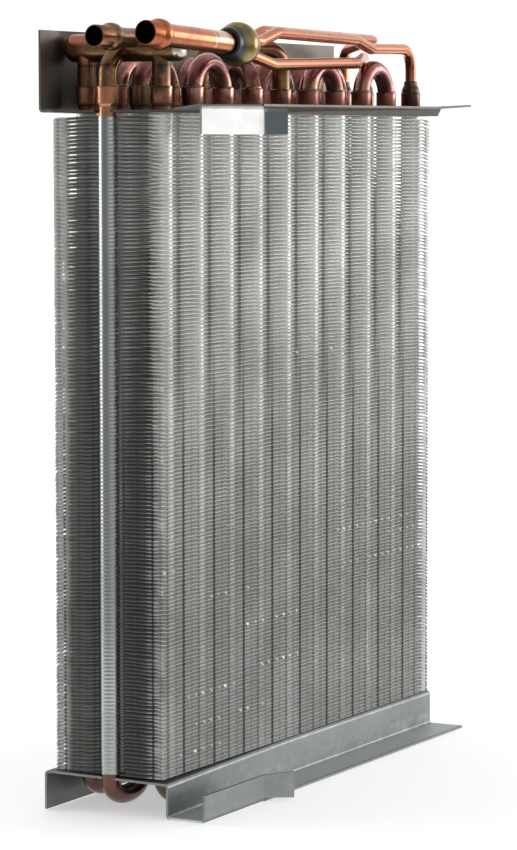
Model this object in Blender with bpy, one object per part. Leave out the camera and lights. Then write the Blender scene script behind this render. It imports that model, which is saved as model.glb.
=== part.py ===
"""Evaporator core: a finned copper coil between two folded end plates.

The coil stands on its lower end plate. X runs along the wide finned face,
Y runs through the coil from that face to the back, and Z is up. The lengths
below are in millimetres in the coil's own frame, whose corner (0, 0, 0) is
the lower front corner of the fin pack at the end nearest the pipes. One empty
carries every piece and moves that frame so that the whole object's box stands
on the origin, centred on it.

The tube pattern comes first: the fin pack, the end plates, the bends and the
pipework over the top all take their sizes and places from it.
"""

import math

import bmesh
import bpy
from mathutils import Matrix, Vector

MM = 0.001

# Clearance between neighbouring pieces.
FIT = 0.3

# How far a cutter runs past what it cuts.
OVERCUT = 5.0

# Tube pattern: three rows of ten tubes, the middle row shifted by half a pitch.
TUBE_PITCH = 31.75
ROW_PITCH = 22.0
ROWS = 3
TUBES_PER_ROW = 10
FIRST_TUBE_OUTER_ROWS = 17.5
FIRST_TUBE_MIDDLE_ROW = 1.6
TUBE_RADIUS = 4.76
TUBE_SIDES = 8

# Fin pack: plate fins stacked upwards, thirteen to the inch. The margins run
# from the last tube's axis to the far end and from the outer rows to the faces.
FIN_HEIGHT = 336.0
FIN_COUNT = 173
FIN_MARGIN_FAR = 5.75
FIN_MARGIN_SIDE = 9.75
FIN_EDGE_FRONT = 4.6
FIN_EDGE_NEAR = 7.7
FIN_EDGE_FAR = 0.6
FRONT_ROW_Y = FIN_MARGIN_SIDE
BACK_ROW_Y = FRONT_ROW_Y + ROW_PITCH * (ROWS - 1)
LAST_TUBE_X = FIRST_TUBE_OUTER_ROWS + TUBE_PITCH * (TUBES_PER_ROW - 1)
FIN_WIDTH = LAST_TUBE_X + FIN_MARGIN_FAR
FIN_DEPTH = BACK_ROW_Y + FIN_MARGIN_SIDE

# Collars of the fins around the one tube that stands in the open at the near end.
COLLAR_WALL = 0.79
COLLAR_RADIUS = TUBE_RADIUS + COLLAR_WALL
COLLAR_ROOM = 0.45
COLLAR_SLOT = COLLAR_RADIUS + COLLAR_ROOM
COLLAR_TOP_GAP = 1.8

# End plates, folded from galvanised sheet. The fold radius is to the sheet's middle,
# and each plate has a relief cut where its short lip ends.
SHEET = 1.2
FOLD_RADIUS = 1.6
FOLD_STEPS = 3
LIP_RELIEF = 1.5
LOWER_SHEET_Z = -FIT - 0.5 * SHEET
UPPER_SHEET_Z = FIN_HEIGHT + FIT + 0.5 * SHEET
BACK_FLANGE_GAP = 2.8
BACK_FLANGE_Y = FIN_DEPTH + BACK_FLANGE_GAP + 0.5 * SHEET
FRONT_WEB_Y = -1.4
LIP_LENGTH = 64.0
LOWER_TAB_LENGTH = 19.0
UPPER_TAB_LENGTH = 15.0
TAB_ANGLE = math.radians(28.0)
TAB_NOTCH = 1.6

# Flattened hairpin bends below the lower plate, and the plate's foot below them.
# The plate's near front corner sags away from the fins.
LOWER_CORNER_SAG = 2.2
HAIRPIN_DROP = 9.0
HAIRPIN_LEG_FOOT = -FIT - SHEET - FIT - LOWER_CORNER_SAG
FOOT_CLEARANCE = 2.84
LOWER_NEAR_BACK = -5.0
LOWER_NEAR_FRONT = 1.6
LOWER_LIP_SAG = 1.0
LOWER_SAG_END = 130.0
LOWER_END_MARGIN = 1.0
LOWER_FAR = FIN_WIDTH - LOWER_END_MARGIN
LOWER_FOOT_LEVEL = HAIRPIN_LEG_FOOT - HAIRPIN_DROP - TUBE_RADIUS - FOOT_CLEARANCE
LOWER_FOOT_WIDTH = 21.6
LOWER_LIP_HEIGHT = 13.6

# The upper plate reaches further than the fins. Its front flange tilts up, less so
# along the lip, and its far corner is bent.
UPPER_OVERHANG = 7.0
UPPER_FAR = FIN_WIDTH + UPPER_OVERHANG
UPPER_NEAR_BACK = -6.5
UPPER_NEAR_FRONT = 0.0
UPPER_BENT_CORNER = 37.0
UPPER_FLANGE_WIDTH = 21.6
UPPER_FLANGE_RISE = 3.9
UPPER_NEAR_SAG = 1.0
UPPER_LIP_SAG = 0.6
UPPER_CORNER_RISE = 1.4
UPPER_BACK_HEIGHT = 41.0
UPPER_LIP_HEIGHT = 14.5

# Belled tube ends above the upper plate and the bends brazed into them.
BELL_WALL = 0.84
BELL_RADIUS = TUBE_RADIUS + BELL_WALL
BELL_CLEAR = 1.7
BELL_FLARE = 1.8
BELL_DEPTH = 8.6
BELL_START = UPPER_SHEET_Z + 0.5 * SHEET + BELL_CLEAR
BELL_FULL = BELL_START + BELL_FLARE
BELL_RIM = BELL_FULL + BELL_DEPTH
BEND_SINK = 3.0

# Two bends swap circuits between the front and middle rows after this tube.
CROSSOVER_TUBE = 3
CROSSOVER_RISE = 21.4
CROSSOVER_TOP = BELL_RIM + CROSSOVER_RISE
CROSSOVER_ROUND = 10.0

# Suction header over the first tubes, and its three branches.
HEADER_RADIUS = 7.15
HEADER_RISE = 19.4
HEADER_HEIGHT = BELL_RIM + HEADER_RISE
HEADER_FRONT_REACH = 13.75
HEADER_BACK_REACH = 10.85
HEADER_FRONT_Y = FRONT_ROW_Y - HEADER_FRONT_REACH
HEADER_BACK_Y = BACK_ROW_Y + HEADER_BACK_REACH
HEADER_DOME = 2.2
HEADER_DOME_INSET = 2.6
HEADER_SIDES = 12
BRANCH_STRAIGHT = 8.5
BRANCH_SLOPE = 9.0
BRANCH_DROP = 2.1
BRANCH_ROUND = 7.0

# Belled connection tubes. The heights are above the header's axis.
SUCTION_ASIDE = 9.75
SUCTION_Y = FRONT_ROW_Y + SUCTION_ASIDE
SUCTION_RISE = 4.4
SUCTION_HEIGHT = HEADER_HEIGHT + SUCTION_RISE
SUCTION_MOUTH_X = -31.0
SUCTION_RADIUS = 5.0
SUCTION_BORE = 5.05
SUCTION_BELL = 5.9
SUCTION_BEAD = 7.2
SUCTION_BELL_LENGTH = 11.4

LIQUID_ASIDE = 21.75
LIQUID_RISE = 5.7
LIQUID_Y = FRONT_ROW_Y - LIQUID_ASIDE
LIQUID_HEIGHT = HEADER_HEIGHT + LIQUID_RISE
LIQUID_MOUTH_X = -35.0
LIQUID_DROP = math.radians(2.1)
LIQUID_RADIUS = 6.3
LIQUID_BORE = 5.6
LIQUID_BELL = 6.5
LIQUID_BEAD = 8.1
LIQUID_BELL_LENGTH = 8.9
LIQUID_LENGTH = 84.0
SOCKET_DEPTH = 12.0
CONNECTION_SIDES = 12
BEAD_RAMP = 2.8
BEAD_WIDTH = 3.2
BEAD_FALL = 2.0

# Brass distributor on the end of the liquid tube, from its neck to its outlet face.
DISTRIBUTOR_RADIUS = 11.4
DISTRIBUTOR_NECK_WALL = 1.6
DISTRIBUTOR_NECK = LIQUID_RADIUS + DISTRIBUTOR_NECK_WALL
DISTRIBUTOR_FACE = 8.6
DISTRIBUTOR_SOCKET = 3.0
DISTRIBUTOR_COLLAR = 3.2
DISTRIBUTOR_CONE = 4.8
DISTRIBUTOR_CHAMFER = 1.6
DISTRIBUTOR_RIM = 3.2
DISTRIBUTOR_NOSE = 7.2
PORT_CIRCLE = 4.9

# Reducers on the last tubes, and the three feeder tubes that stand on them.
FEEDER_RADIUS = 3.1
FEEDER_SIDES = 8
FEEDER_STRAIGHT = 7.0
FEEDER_BEND = 8.0
REDUCER_FOOT_WALL = 0.44
REDUCER_NECK_WALL = 0.8
REDUCER_FOOT = 2.0
REDUCER_TAPER = 2.2
REDUCER_NECK = 2.3
REDUCER_TOP = BELL_RIM + FIT + REDUCER_FOOT + REDUCER_TAPER + REDUCER_NECK

# Ways of the feeders. The knee lies beyond the distributor's face, across from
# its axis. The turn lies short of the last tubes, across from the front row.
# The crest is the last bend, over the feeder's own tube. Rises are above the
# bell rims.
KNEE_BEYOND = 31.0
MIDDLE_KNEE_ACROSS = 1.0
MIDDLE_KNEE_RISE = 12.0
MIDDLE_TURN_SHORT = 89.25
MIDDLE_TURN_ACROSS = -10.35
MIDDLE_TURN_RISE = 15.3
MIDDLE_CREST_RISE = 20.8
FRONT_KNEE_ACROSS = -1.5
FRONT_KNEE_RISE = 29.2
FRONT_TURN_SHORT = 35.25
FRONT_TURN_ACROSS = -4.15
FRONT_TURN_RISE = 25.2
FRONT_CREST_RISE = 22.2
BACK_KNEE_ACROSS = 6.6
BACK_KNEE_RISE = 31.6
BACK_TURN_SHORT = 35.25
BACK_TURN_ACROSS = 5.65
BACK_TURN_RISE = 30.4
BACK_CREST_RISE = 25.0

GALVANISED = ((0.50, 0.53, 0.51), 0.38, 1.0)
ALUMINIUM = ((0.66, 0.66, 0.65), 0.34, 1.0)
COPPER_DULL = ((0.46, 0.20, 0.17), 0.36, 1.0)
COPPER_BRIGHT = ((0.78, 0.37, 0.22), 0.26, 1.0)
COPPER_STAINED = ((0.36, 0.20, 0.10), 0.40, 1.0)
BRASS = ((0.62, 0.46, 0.20), 0.32, 1.0)
COPPER_DARK = ((0.16, 0.09, 0.08), 0.45, 1.0)


def clear_scene():
    """Remove every object of the open file."""
    for old in list(bpy.data.objects):
        bpy.data.objects.remove(old, do_unlink=True)


def make_material(name, finish):
    """Return a Principled material for one piece."""
    colour, roughness, metallic = finish
    material = bpy.data.materials.new(name)
    material.use_nodes = True
    shader = material.node_tree.nodes["Principled BSDF"]
    shader.inputs["Base Color"].default_value = (*colour, 1.0)
    shader.inputs["Roughness"].default_value = roughness
    shader.inputs["Metallic"].default_value = metallic
    material.diffuse_color = (*colour, 1.0)
    return material


def add_object(name, mesh, frame, finish, location=(0.0, 0.0, 0.0), smooth=True):
    """Link a mesh as one named piece carried by the coil's frame."""
    piece = bpy.data.objects.new(name, mesh)
    bpy.context.scene.collection.objects.link(piece)
    piece.parent = frame
    piece.location = Vector(location) * MM
    mesh.materials.append(make_material(name, finish))
    if smooth:
        mesh.shade_smooth()
        mesh.set_sharp_from_angle(angle=math.radians(50.0))
    return piece


def new_mesh(name, build):
    """Turn a bmesh in millimetres into a mesh in metres, faces outward."""
    bmesh.ops.recalc_face_normals(build, faces=build.faces)
    bmesh.ops.transform(build, matrix=Matrix.Scale(MM, 4), verts=build.verts)
    mesh = bpy.data.meshes.new(name)
    build.to_mesh(mesh)
    build.free()
    return mesh


def tube_x(row, index):
    """Return the X of one tube; rows 0 and 2 are the outer rows."""
    first = FIRST_TUBE_MIDDLE_ROW if row == 1 else FIRST_TUBE_OUTER_ROWS
    return first + TUBE_PITCH * index


def tube_y(row):
    """Return the Y of one row of tubes."""
    return FRONT_ROW_Y + ROW_PITCH * row


def arc(centre, radius_a, radius_b, start, end, steps, across, up):
    """Return points along an arc; across and up are its two axes."""
    points = []
    for step in range(steps + 1):
        angle = start + (end - start) * step / steps
        offset = across * (radius_a * math.cos(angle)) + up * (radius_b * math.sin(angle))
        points.append(centre + offset)
    return points


def round_corners(points, radius, steps):
    """Replace each inner corner of a path by an arc of the given radius."""
    path = [Vector(points[0])]
    for before, corner, after in zip(points, points[1:], points[2:]):
        corner = Vector(corner)
        back = (Vector(before) - corner).normalized()
        ahead = (Vector(after) - corner).normalized()
        half = 0.5 * back.angle(ahead)
        reach = radius / math.tan(half)
        centre = corner + (back + ahead).normalized() * (radius / math.sin(half))
        first = corner + back * reach - centre
        last = corner + ahead * reach - centre
        sweep = first.angle(last)
        for step in range(steps + 1):
            share = step / steps
            blend = (first * math.sin((1.0 - share) * sweep) + last * math.sin(share * sweep))
            path.append(centre + blend / math.sin(sweep))
    path.append(Vector(points[-1]))
    return path


def swept_tube(name, path, radii, sides, start_plane=None, end_plane=None):
    """Sweep a ring along a path without twist and close both ends.

    An end plane, given as a normal, cuts that end flat on the plane through
    the path's end instead of square to the path.
    """
    build = bmesh.new()
    points = [Vector(point) for point in path]
    tangents = []
    for index, point in enumerate(points):
        ahead = points[min(index + 1, len(points) - 1)]
        behind = points[max(index - 1, 0)]
        if 0 < index < len(points) - 1:
            tangents.append(((ahead - point).normalized() + (point - behind).normalized()).normalized())
        else:
            tangents.append((ahead - behind).normalized())
    if start_plane is not None:
        tangents[0] = (points[1] - points[0]).normalized()
    side = Vector((1.0, 0.0, 0.0))
    if abs(tangents[0].dot(side)) > 0.9:
        side = Vector((0.0, 0.0, 1.0))
    side = (side - tangents[0] * tangents[0].dot(side)).normalized()
    rings = []
    for index, point in enumerate(points):
        tangent = tangents[index]
        if index:
            turn = tangents[index - 1].rotation_difference(tangent)
            side = turn @ side
            side = (side - tangent * tangent.dot(side)).normalized()
        other = tangent.cross(side)
        plane = None
        if index == 0:
            plane = start_plane
        if index == len(points) - 1:
            plane = end_plane
        stretch = 1.0
        if 0 < index < len(points) - 1:
            stretch = 1.0 / max(0.8, (points[index + 1] - point).normalized().dot(tangent))
        ring = []
        for corner in range(sides):
            angle = 2.0 * math.pi * (corner + 0.5) / sides
            offset = (side * math.cos(angle) + other * math.sin(angle)) * radii[index] * stretch
            if plane is not None:
                offset -= tangent * (offset.dot(plane) / tangent.dot(plane))
            ring.append(build.verts.new(point + offset))
        rings.append(ring)
    for lower, upper in zip(rings, rings[1:]):
        for corner in range(sides):
            following = (corner + 1) % sides
            build.faces.new((lower[corner], lower[following], upper[following], upper[corner]))
    build.faces.new(list(reversed(rings[0])))
    build.faces.new(rings[-1])
    return new_mesh(name, build)


def turned_piece(name, profile, sides):
    """Spin a closed profile of (along, radius) points about the X axis."""
    build = bmesh.new()
    corners = [build.verts.new((along, 0.0, radius)) for along, radius in profile]
    edges = [build.edges.new(pair) for pair in zip(corners, corners[1:])]
    bmesh.ops.spin(
        build,
        geom=corners + edges,
        cent=(0.0, 0.0, 0.0),
        axis=(1.0, 0.0, 0.0),
        angle=2.0 * math.pi,
        steps=sides,
        use_merge=True,
    )
    bmesh.ops.remove_doubles(build, verts=build.verts, dist=0.001)
    return new_mesh(name, build)


def prism(build, x, y, radius, low, high, sides):
    """Add an upright prism to a bmesh."""
    turn = Matrix.Rotation(math.pi / sides, 4, "Z")
    move = Matrix.Translation((x, y, 0.5 * (low + high)))
    bmesh.ops.create_cone(
        build,
        cap_ends=True,
        segments=sides,
        radius1=radius,
        radius2=radius,
        depth=high - low,
        matrix=move @ turn,
    )


def open_slot(build, x, y, radius, length, low, high, sides):
    """Add a prism's far half, drawn out straight towards -X, to a bmesh."""
    outline = []
    for corner in range(sides):
        angle = -0.5 * math.pi + 2.0 * math.pi * (corner + 0.5) / sides
        if math.cos(angle) > 0.0:
            outline.append((x + radius * math.cos(angle), y + radius * math.sin(angle)))
    outline = [(x - length, outline[0][1])] + outline + [(x - length, outline[-1][1])]
    floor = build.faces.new([build.verts.new((*point, low)) for point in outline])
    raised = bmesh.ops.extrude_face_region(build, geom=[floor])
    lifted = [item for item in raised["geom"] if isinstance(item, bmesh.types.BMVert)]
    bmesh.ops.translate(build, verts=lifted, vec=(0.0, 0.0, high - low))


def cut(piece, cutter):
    """Subtract one solid from another and keep only the result."""
    modifier = piece.modifiers.new("cut", "BOOLEAN")
    modifier.operation = "DIFFERENCE"
    modifier.solver = "EXACT"
    modifier.object = cutter
    cutter.hide_render = True
    cutter.display_type = "WIRE"


def make_cutter(name, build, frame):
    """Link a bmesh as a cutter, which the finished object leaves out."""
    mesh = new_mesh(name, build)
    cutter = bpy.data.objects.new(name, mesh)
    bpy.context.scene.collection.objects.link(cutter)
    cutter.parent = frame
    cutter.hide_render = True
    cutter.display_type = "WIRE"
    return cutter


def tube_holes(name, frame, low, high, leave_out=(), run_out=()):
    """Return a cutter with a clearance hole for every tube of the pattern.

    The tubes named in leave_out get none, and the holes of those in run_out are
    slots that run out of the plate's near edge.
    """
    build = bmesh.new()
    radius = TUBE_RADIUS + FIT / math.cos(math.pi / TUBE_SIDES)
    for row in range(ROWS):
        for index in range(TUBES_PER_ROW):
            if (row, index) in leave_out:
                continue
            if (row, index) in run_out:
                reach = tube_x(row, index) - UPPER_NEAR_BACK + OVERCUT
                open_slot(build, tube_x(row, index), tube_y(row), radius, reach, low, high, TUBE_SIDES)
                continue
            prism(build, tube_x(row, index), tube_y(row), radius, low, high, TUBE_SIDES)
    return make_cutter(name, build, frame)


def build_fin_pack(frame):
    """Stack the fin edges as ridges around a core and open it for the tubes."""
    build = bmesh.new()
    middle = tube_y(1)
    slot_front = middle - COLLAR_SLOT
    slot_back = middle + COLLAR_SLOT
    near = FIN_EDGE_NEAR
    far = FIN_WIDTH - FIN_EDGE_FAR
    front = FIN_EDGE_FRONT
    back = FIN_DEPTH - FIN_EDGE_FRONT
    tips = (
        (0.0, 0.0),
        (FIN_WIDTH, 0.0),
        (FIN_WIDTH, FIN_DEPTH),
        (0.0, FIN_DEPTH),
        (0.0, slot_back),
        (near, slot_back),
        (near, slot_front),
        (0.0, slot_front),
    )
    roots = (
        (near, front),
        (far, front),
        (far, back),
        (near, back),
        (near, slot_back),
        (near, slot_front),
    )
    half_pitch = 0.5 * FIN_HEIGHT / (FIN_COUNT - 1)
    levels = []
    for step in range(2 * FIN_COUNT - 1):
        outline = roots if step % 2 else tips
        levels.append([build.verts.new((x, y, step * half_pitch)) for x, y in outline])
    for lower, upper in zip(levels, levels[1:]):
        tip, root = (lower, upper) if len(lower) == 8 else (upper, lower)
        build.faces.new((tip[0], tip[1], root[1], root[0]))
        build.faces.new((tip[1], tip[2], root[2], root[1]))
        build.faces.new((tip[2], tip[3], root[3], root[2]))
        build.faces.new((tip[3], tip[4], root[4], root[3]))
        build.faces.new((tip[4], tip[5], root[4]))
        build.faces.new((tip[5], tip[6], root[5], root[4]))
        build.faces.new((tip[6], tip[7], root[5]))
        build.faces.new((tip[7], tip[0], root[0], root[5]))
    build.faces.new(list(reversed(levels[0])))
    build.faces.new(levels[-1])
    mesh = new_mesh("fin_pack", build)
    pack = add_object("fin_pack", mesh, frame, ALUMINIUM, smooth=False)
    holes = tube_holes("fin_holes", frame, -OVERCUT, FIN_HEIGHT + OVERCUT, leave_out=((1, 0),))
    cut(pack, holes)


def build_collar_column(frame):
    """Make the sleeve of fin collars around the tube in the open slot."""
    build = bmesh.new()
    prism(build, 0.0, 0.0, COLLAR_RADIUS, FIT, FIN_HEIGHT - COLLAR_TOP_GAP, TUBE_SIDES)
    mesh = new_mesh("exposed_collars", build)
    place = (tube_x(1, 0), tube_y(1), 0.0)
    column = add_object("exposed_collars", mesh, frame, ALUMINIUM, location=place)
    bore = bmesh.new()
    radius = TUBE_RADIUS + FIT / math.cos(math.pi / TUBE_SIDES)
    prism(bore, tube_x(1, 0), tube_y(1), radius, -OVERCUT, FIN_HEIGHT + OVERCUT, TUBE_SIDES)
    cut(column, make_cutter("collar_bore", bore, frame))


def hairpin_mesh():
    """Sweep one hairpin: belled leg, flattened bend, belled leg."""
    span = 0.5 * TUBE_PITCH
    across = Vector((1.0, 0.0, 0.0))
    up = Vector((0.0, 0.0, 1.0))
    centre = Vector((span, 0.0, HAIRPIN_LEG_FOOT))
    leg = [
        (Vector((0.0, 0.0, BELL_RIM)), BELL_RADIUS),
        (Vector((0.0, 0.0, BELL_FULL)), BELL_RADIUS),
        (Vector((0.0, 0.0, BELL_START)), TUBE_RADIUS),
    ]
    bend = arc(centre, span, HAIRPIN_DROP, math.pi, 2.0 * math.pi, 6, across, up)
    stations = leg + [(point, TUBE_RADIUS) for point in bend]
    stations += [(point + across * TUBE_PITCH, radius) for point, radius in reversed(leg)]
    path = [station[0] for station in stations]
    radii = [station[1] for station in stations]
    return swept_tube("hairpin", path, radii, TUBE_SIDES)


def build_hairpins(frame):
    """Place fifteen hairpins, each its own piece."""
    for row in range(ROWS):
        for pair in range(TUBES_PER_ROW // 2):
            name = "hairpin_row%d_%d" % (row + 1, pair + 1)
            place = (tube_x(row, 2 * pair), tube_y(row), 0.0)
            add_object(name, hairpin_mesh(), frame, COPPER_DULL, location=place)


def return_bend_mesh(span_vector):
    """Sweep a half-round return bend whose feet stand on two bell rims."""
    span = span_vector.length
    across = span_vector.normalized()
    up = Vector((0.0, 0.0, 1.0))
    radius = 0.5 * span
    sink = BEND_SINK + FIT
    start = math.asin(sink / radius)
    centre = span_vector * 0.5 - up * BEND_SINK
    path = arc(centre, radius, radius, math.pi - start, start, 6, across, up)
    radii = [TUBE_RADIUS] * len(path)
    return swept_tube("return_bend", path, radii, TUBE_SIDES, start_plane=up, end_plane=up)


def build_return_bends(frame):
    """Place the return bends that stay within one row."""
    for row in range(ROWS):
        for first in range(1, TUBES_PER_ROW - 1, 2):
            if first == CROSSOVER_TUBE and row != ROWS - 1:
                continue
            name = "return_bend_row%d_%d" % (row + 1, (first + 1) // 2)
            mesh = return_bend_mesh(Vector((TUBE_PITCH, 0.0, 0.0)))
            place = (tube_x(row, first), tube_y(row), BELL_RIM)
            add_object(name, mesh, frame, COPPER_DULL, location=place)


def build_crossovers(frame):
    """Place the two bends that swap circuits between the front and middle rows."""
    before, after = CROSSOVER_TUBE, CROSSOVER_TUBE + 1
    low_from = Vector((tube_x(0, before), tube_y(0), 0.0))
    low_to = Vector((tube_x(1, after), tube_y(1), 0.0))
    mesh = return_bend_mesh(low_to - low_from)
    place = (low_from.x, low_from.y, BELL_RIM)
    add_object("crossover_bend_low", mesh, frame, COPPER_DULL, location=place)
    start = Vector((tube_x(1, before), tube_y(1), BELL_RIM + FIT))
    end = Vector((tube_x(0, after), tube_y(0), BELL_RIM + FIT))
    corners = [
        start,
        Vector((start.x, start.y, CROSSOVER_TOP)),
        Vector((end.x, end.y, CROSSOVER_TOP)),
        end,
    ]
    path = [point - start for point in round_corners(corners, CROSSOVER_ROUND, 4)]
    mesh = swept_tube("crossover_bend_high", path, [TUBE_RADIUS] * len(path), TUBE_SIDES)
    add_object("crossover_bend_high", mesh, frame, COPPER_STAINED, location=start)


def sheet_from_grid(build, rows):
    """Add a strip of quads through rows of points and return the new faces."""
    grid = [[build.verts.new(point) for point in row] for row in rows]
    faces = []
    for lower, upper in zip(grid, grid[1:]):
        for index in range(len(lower) - 1):
            faces.append(build.faces.new((lower[index], lower[index + 1], upper[index + 1], upper[index])))
    return grid, faces


def add_flange_edge(build, grid, corners):
    """Add the strip from a flange's fold line out to its edge, beyond the lip.

    grid holds the sheet's rows of vertices, whose last ones lie on the fold line,
    and corners the flange's edge at each row. The lip takes the first two rows.
    """
    edge = [build.verts.new(corner) for corner in corners[2:]]
    fold_line = [row[-1] for row in grid[2:]]
    for index in range(len(edge) - 1):
        build.faces.new((fold_line[index], fold_line[index + 1], edge[index + 1], edge[index]))


def add_lip(build, fold_line, columns, tip_level, tab_length):
    """Fold a lip along the near end of a flange, with its bent-out tab.

    fold_line holds the flange's vertices at the two ends of the lip, and columns
    the points of the fold and the lip from there to its free edge. The tab
    stands out from the lip's far end, and its inner corner ends at tip_level.
    """
    sides = []
    for vertex, column in zip(fold_line, columns):
        sides.append([vertex] + [build.verts.new(point) for point in column[1:]])
    near, far = sides
    for index in range(len(near) - 1):
        build.faces.new((near[index], far[index], far[index + 1], near[index + 1]))
    root, edge = far[-2], far[-1]
    tip_x = edge.co.x + tab_length * math.cos(TAB_ANGLE)
    tip_y = edge.co.y - tab_length * math.sin(TAB_ANGLE)
    tip_root = build.verts.new((tip_x, tip_y, tip_level))
    tip_edge = build.verts.new((tip_x, tip_y, edge.co.z))
    build.faces.new((root, tip_root, tip_edge, edge))


def thicken(piece):
    """Give a folded surface its sheet thickness, centred on the surface."""
    modifier = piece.modifiers.new("sheet", "SOLIDIFY")
    modifier.thickness = SHEET * MM
    modifier.offset = 0.0
    modifier.use_even_offset = True
    modifier.use_quality_normals = True


def fold(points):
    """Round every inner corner of a section to the fold radius."""
    return round_corners(points, FOLD_RADIUS, FOLD_STEPS)


def build_lower_plate(frame):
    """Fold the lower end plate: back flange, tube sheet, web, foot and lip."""
    build = bmesh.new()
    sheet_z = LOWER_SHEET_Z
    foot_z = LOWER_FOOT_LEVEL + 0.5 * SHEET
    foot_y = FRONT_WEB_Y - LOWER_FOOT_WIDTH
    lip_top = foot_z + LOWER_LIP_HEIGHT

    def section(x_back, x_front, sag):
        return fold(
            (
                (x_back, BACK_FLANGE_Y, LOWER_FOOT_LEVEL),
                (x_back, BACK_FLANGE_Y, sheet_z),
                (x_front, FRONT_WEB_Y, sheet_z - sag),
                (x_front, FRONT_WEB_Y, foot_z),
                (x_front, foot_y, foot_z),
                (x_front, foot_y, lip_top),
            )
        )

    lip_end = LIP_LENGTH + LIP_RELIEF
    sections = [
        section(LOWER_NEAR_BACK, LOWER_NEAR_FRONT, LOWER_CORNER_SAG),
        section(LIP_LENGTH, LIP_LENGTH, LOWER_LIP_SAG),
        section(lip_end, lip_end, LOWER_LIP_SAG),
        section(LOWER_SAG_END, LOWER_SAG_END, 0.0),
        section(LOWER_FAR, LOWER_FAR, 0.0),
    ]
    lip_points = FOLD_STEPS + 2
    grid, _ = sheet_from_grid(build, [points[: 1 - lip_points] for points in sections])
    add_flange_edge(build, grid, [(points[-1].x, foot_y, foot_z) for points in sections])
    columns = [points[-lip_points:] for points in sections[:2]]
    add_lip(build, [grid[0][-1], grid[1][-1]], columns, LOWER_FOOT_LEVEL + FIT, LOWER_TAB_LENGTH)
    mesh = new_mesh("lower_end_plate", build)
    plate = add_object("lower_end_plate", mesh, frame, GALVANISED, smooth=False)
    thicken(plate)
    cut(plate, tube_holes("lower_plate_holes", frame, sheet_z - OVERCUT, sheet_z + OVERCUT))


def build_upper_plate(frame):
    """Fold the upper end plate: back flange up, front flange tilted up, lip down."""
    build = bmesh.new()
    sheet_z = UPPER_SHEET_Z
    back_top = sheet_z + UPPER_BACK_HEIGHT
    fold_y = FRONT_WEB_Y
    edge_y = FRONT_WEB_Y - UPPER_FLANGE_WIDTH
    near_rise = UPPER_FLANGE_RISE - UPPER_NEAR_SAG
    lip_rise = UPPER_FLANGE_RISE - UPPER_LIP_SAG
    lip_foot = sheet_z + near_rise - UPPER_LIP_HEIGHT

    def section(x_back, x_front, step, rise):
        knee_y = fold_y - step * 0.1 - (1.0 - step) * 0.5 * UPPER_FLANGE_WIDTH
        knee_z = sheet_z + (0.5 + 0.45 * step) * rise
        back = fold(
            (
                (x_back, BACK_FLANGE_Y, back_top),
                (x_back, BACK_FLANGE_Y, sheet_z),
                (x_front, fold_y, sheet_z),
            )
        )
        front = fold(
            (
                (x_front, knee_y, knee_z),
                (x_front, edge_y, sheet_z + rise),
                (x_front, edge_y, lip_foot),
            )
        )
        return back + front

    lip_end = LIP_LENGTH + LIP_RELIEF
    bent = UPPER_FAR - UPPER_BENT_CORNER
    rises = (near_rise, lip_rise, lip_rise, UPPER_FLANGE_RISE, UPPER_FLANGE_RISE + UPPER_CORNER_RISE)
    sections = [
        section(UPPER_NEAR_BACK, UPPER_NEAR_FRONT, 0.0, rises[0]),
        section(LIP_LENGTH, LIP_LENGTH, 0.2, rises[1]),
        section(lip_end, lip_end, 0.2, rises[2]),
        section(bent, bent, 0.8, rises[3]),
        section(UPPER_FAR, UPPER_FAR, 0.8, rises[4]),
    ]
    lip_points = FOLD_STEPS + 2
    grid, _ = sheet_from_grid(build, [points[: 1 - lip_points] for points in sections])
    edges = [(points[-1].x, edge_y, sheet_z + rise) for points, rise in zip(sections, rises)]
    add_flange_edge(build, grid, edges)
    columns = [points[-lip_points:] for points in sections[:2]]
    tip_level = sheet_z + lip_rise - TAB_NOTCH
    add_lip(build, [grid[0][-1], grid[1][-1]], columns, tip_level, UPPER_TAB_LENGTH)
    mesh = new_mesh("upper_end_plate", build)
    plate = add_object("upper_end_plate", mesh, frame, GALVANISED, smooth=False)
    thicken(plate)
    holes = tube_holes(
        "upper_plate_holes", frame, sheet_z - OVERCUT, sheet_z + OVERCUT, run_out=((1, 0),)
    )
    cut(plate, holes)


def header_solid(build, grow):
    """Add the header's capped barrel to a bmesh, grown by a clearance."""
    radius = HEADER_RADIUS + grow
    turn = Matrix.Rotation(math.pi / 2.0, 4, "X") @ Matrix.Rotation(math.pi / HEADER_SIDES, 4, "Z")
    middle = 0.5 * (HEADER_FRONT_Y + HEADER_BACK_Y)
    move = Matrix.Translation((FIRST_TUBE_OUTER_ROWS, middle, HEADER_HEIGHT))
    bmesh.ops.create_cone(
        build,
        cap_ends=True,
        segments=HEADER_SIDES,
        radius1=radius,
        radius2=radius,
        depth=HEADER_BACK_Y - HEADER_FRONT_Y + 2.0 * grow,
        matrix=move @ turn,
    )


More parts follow.
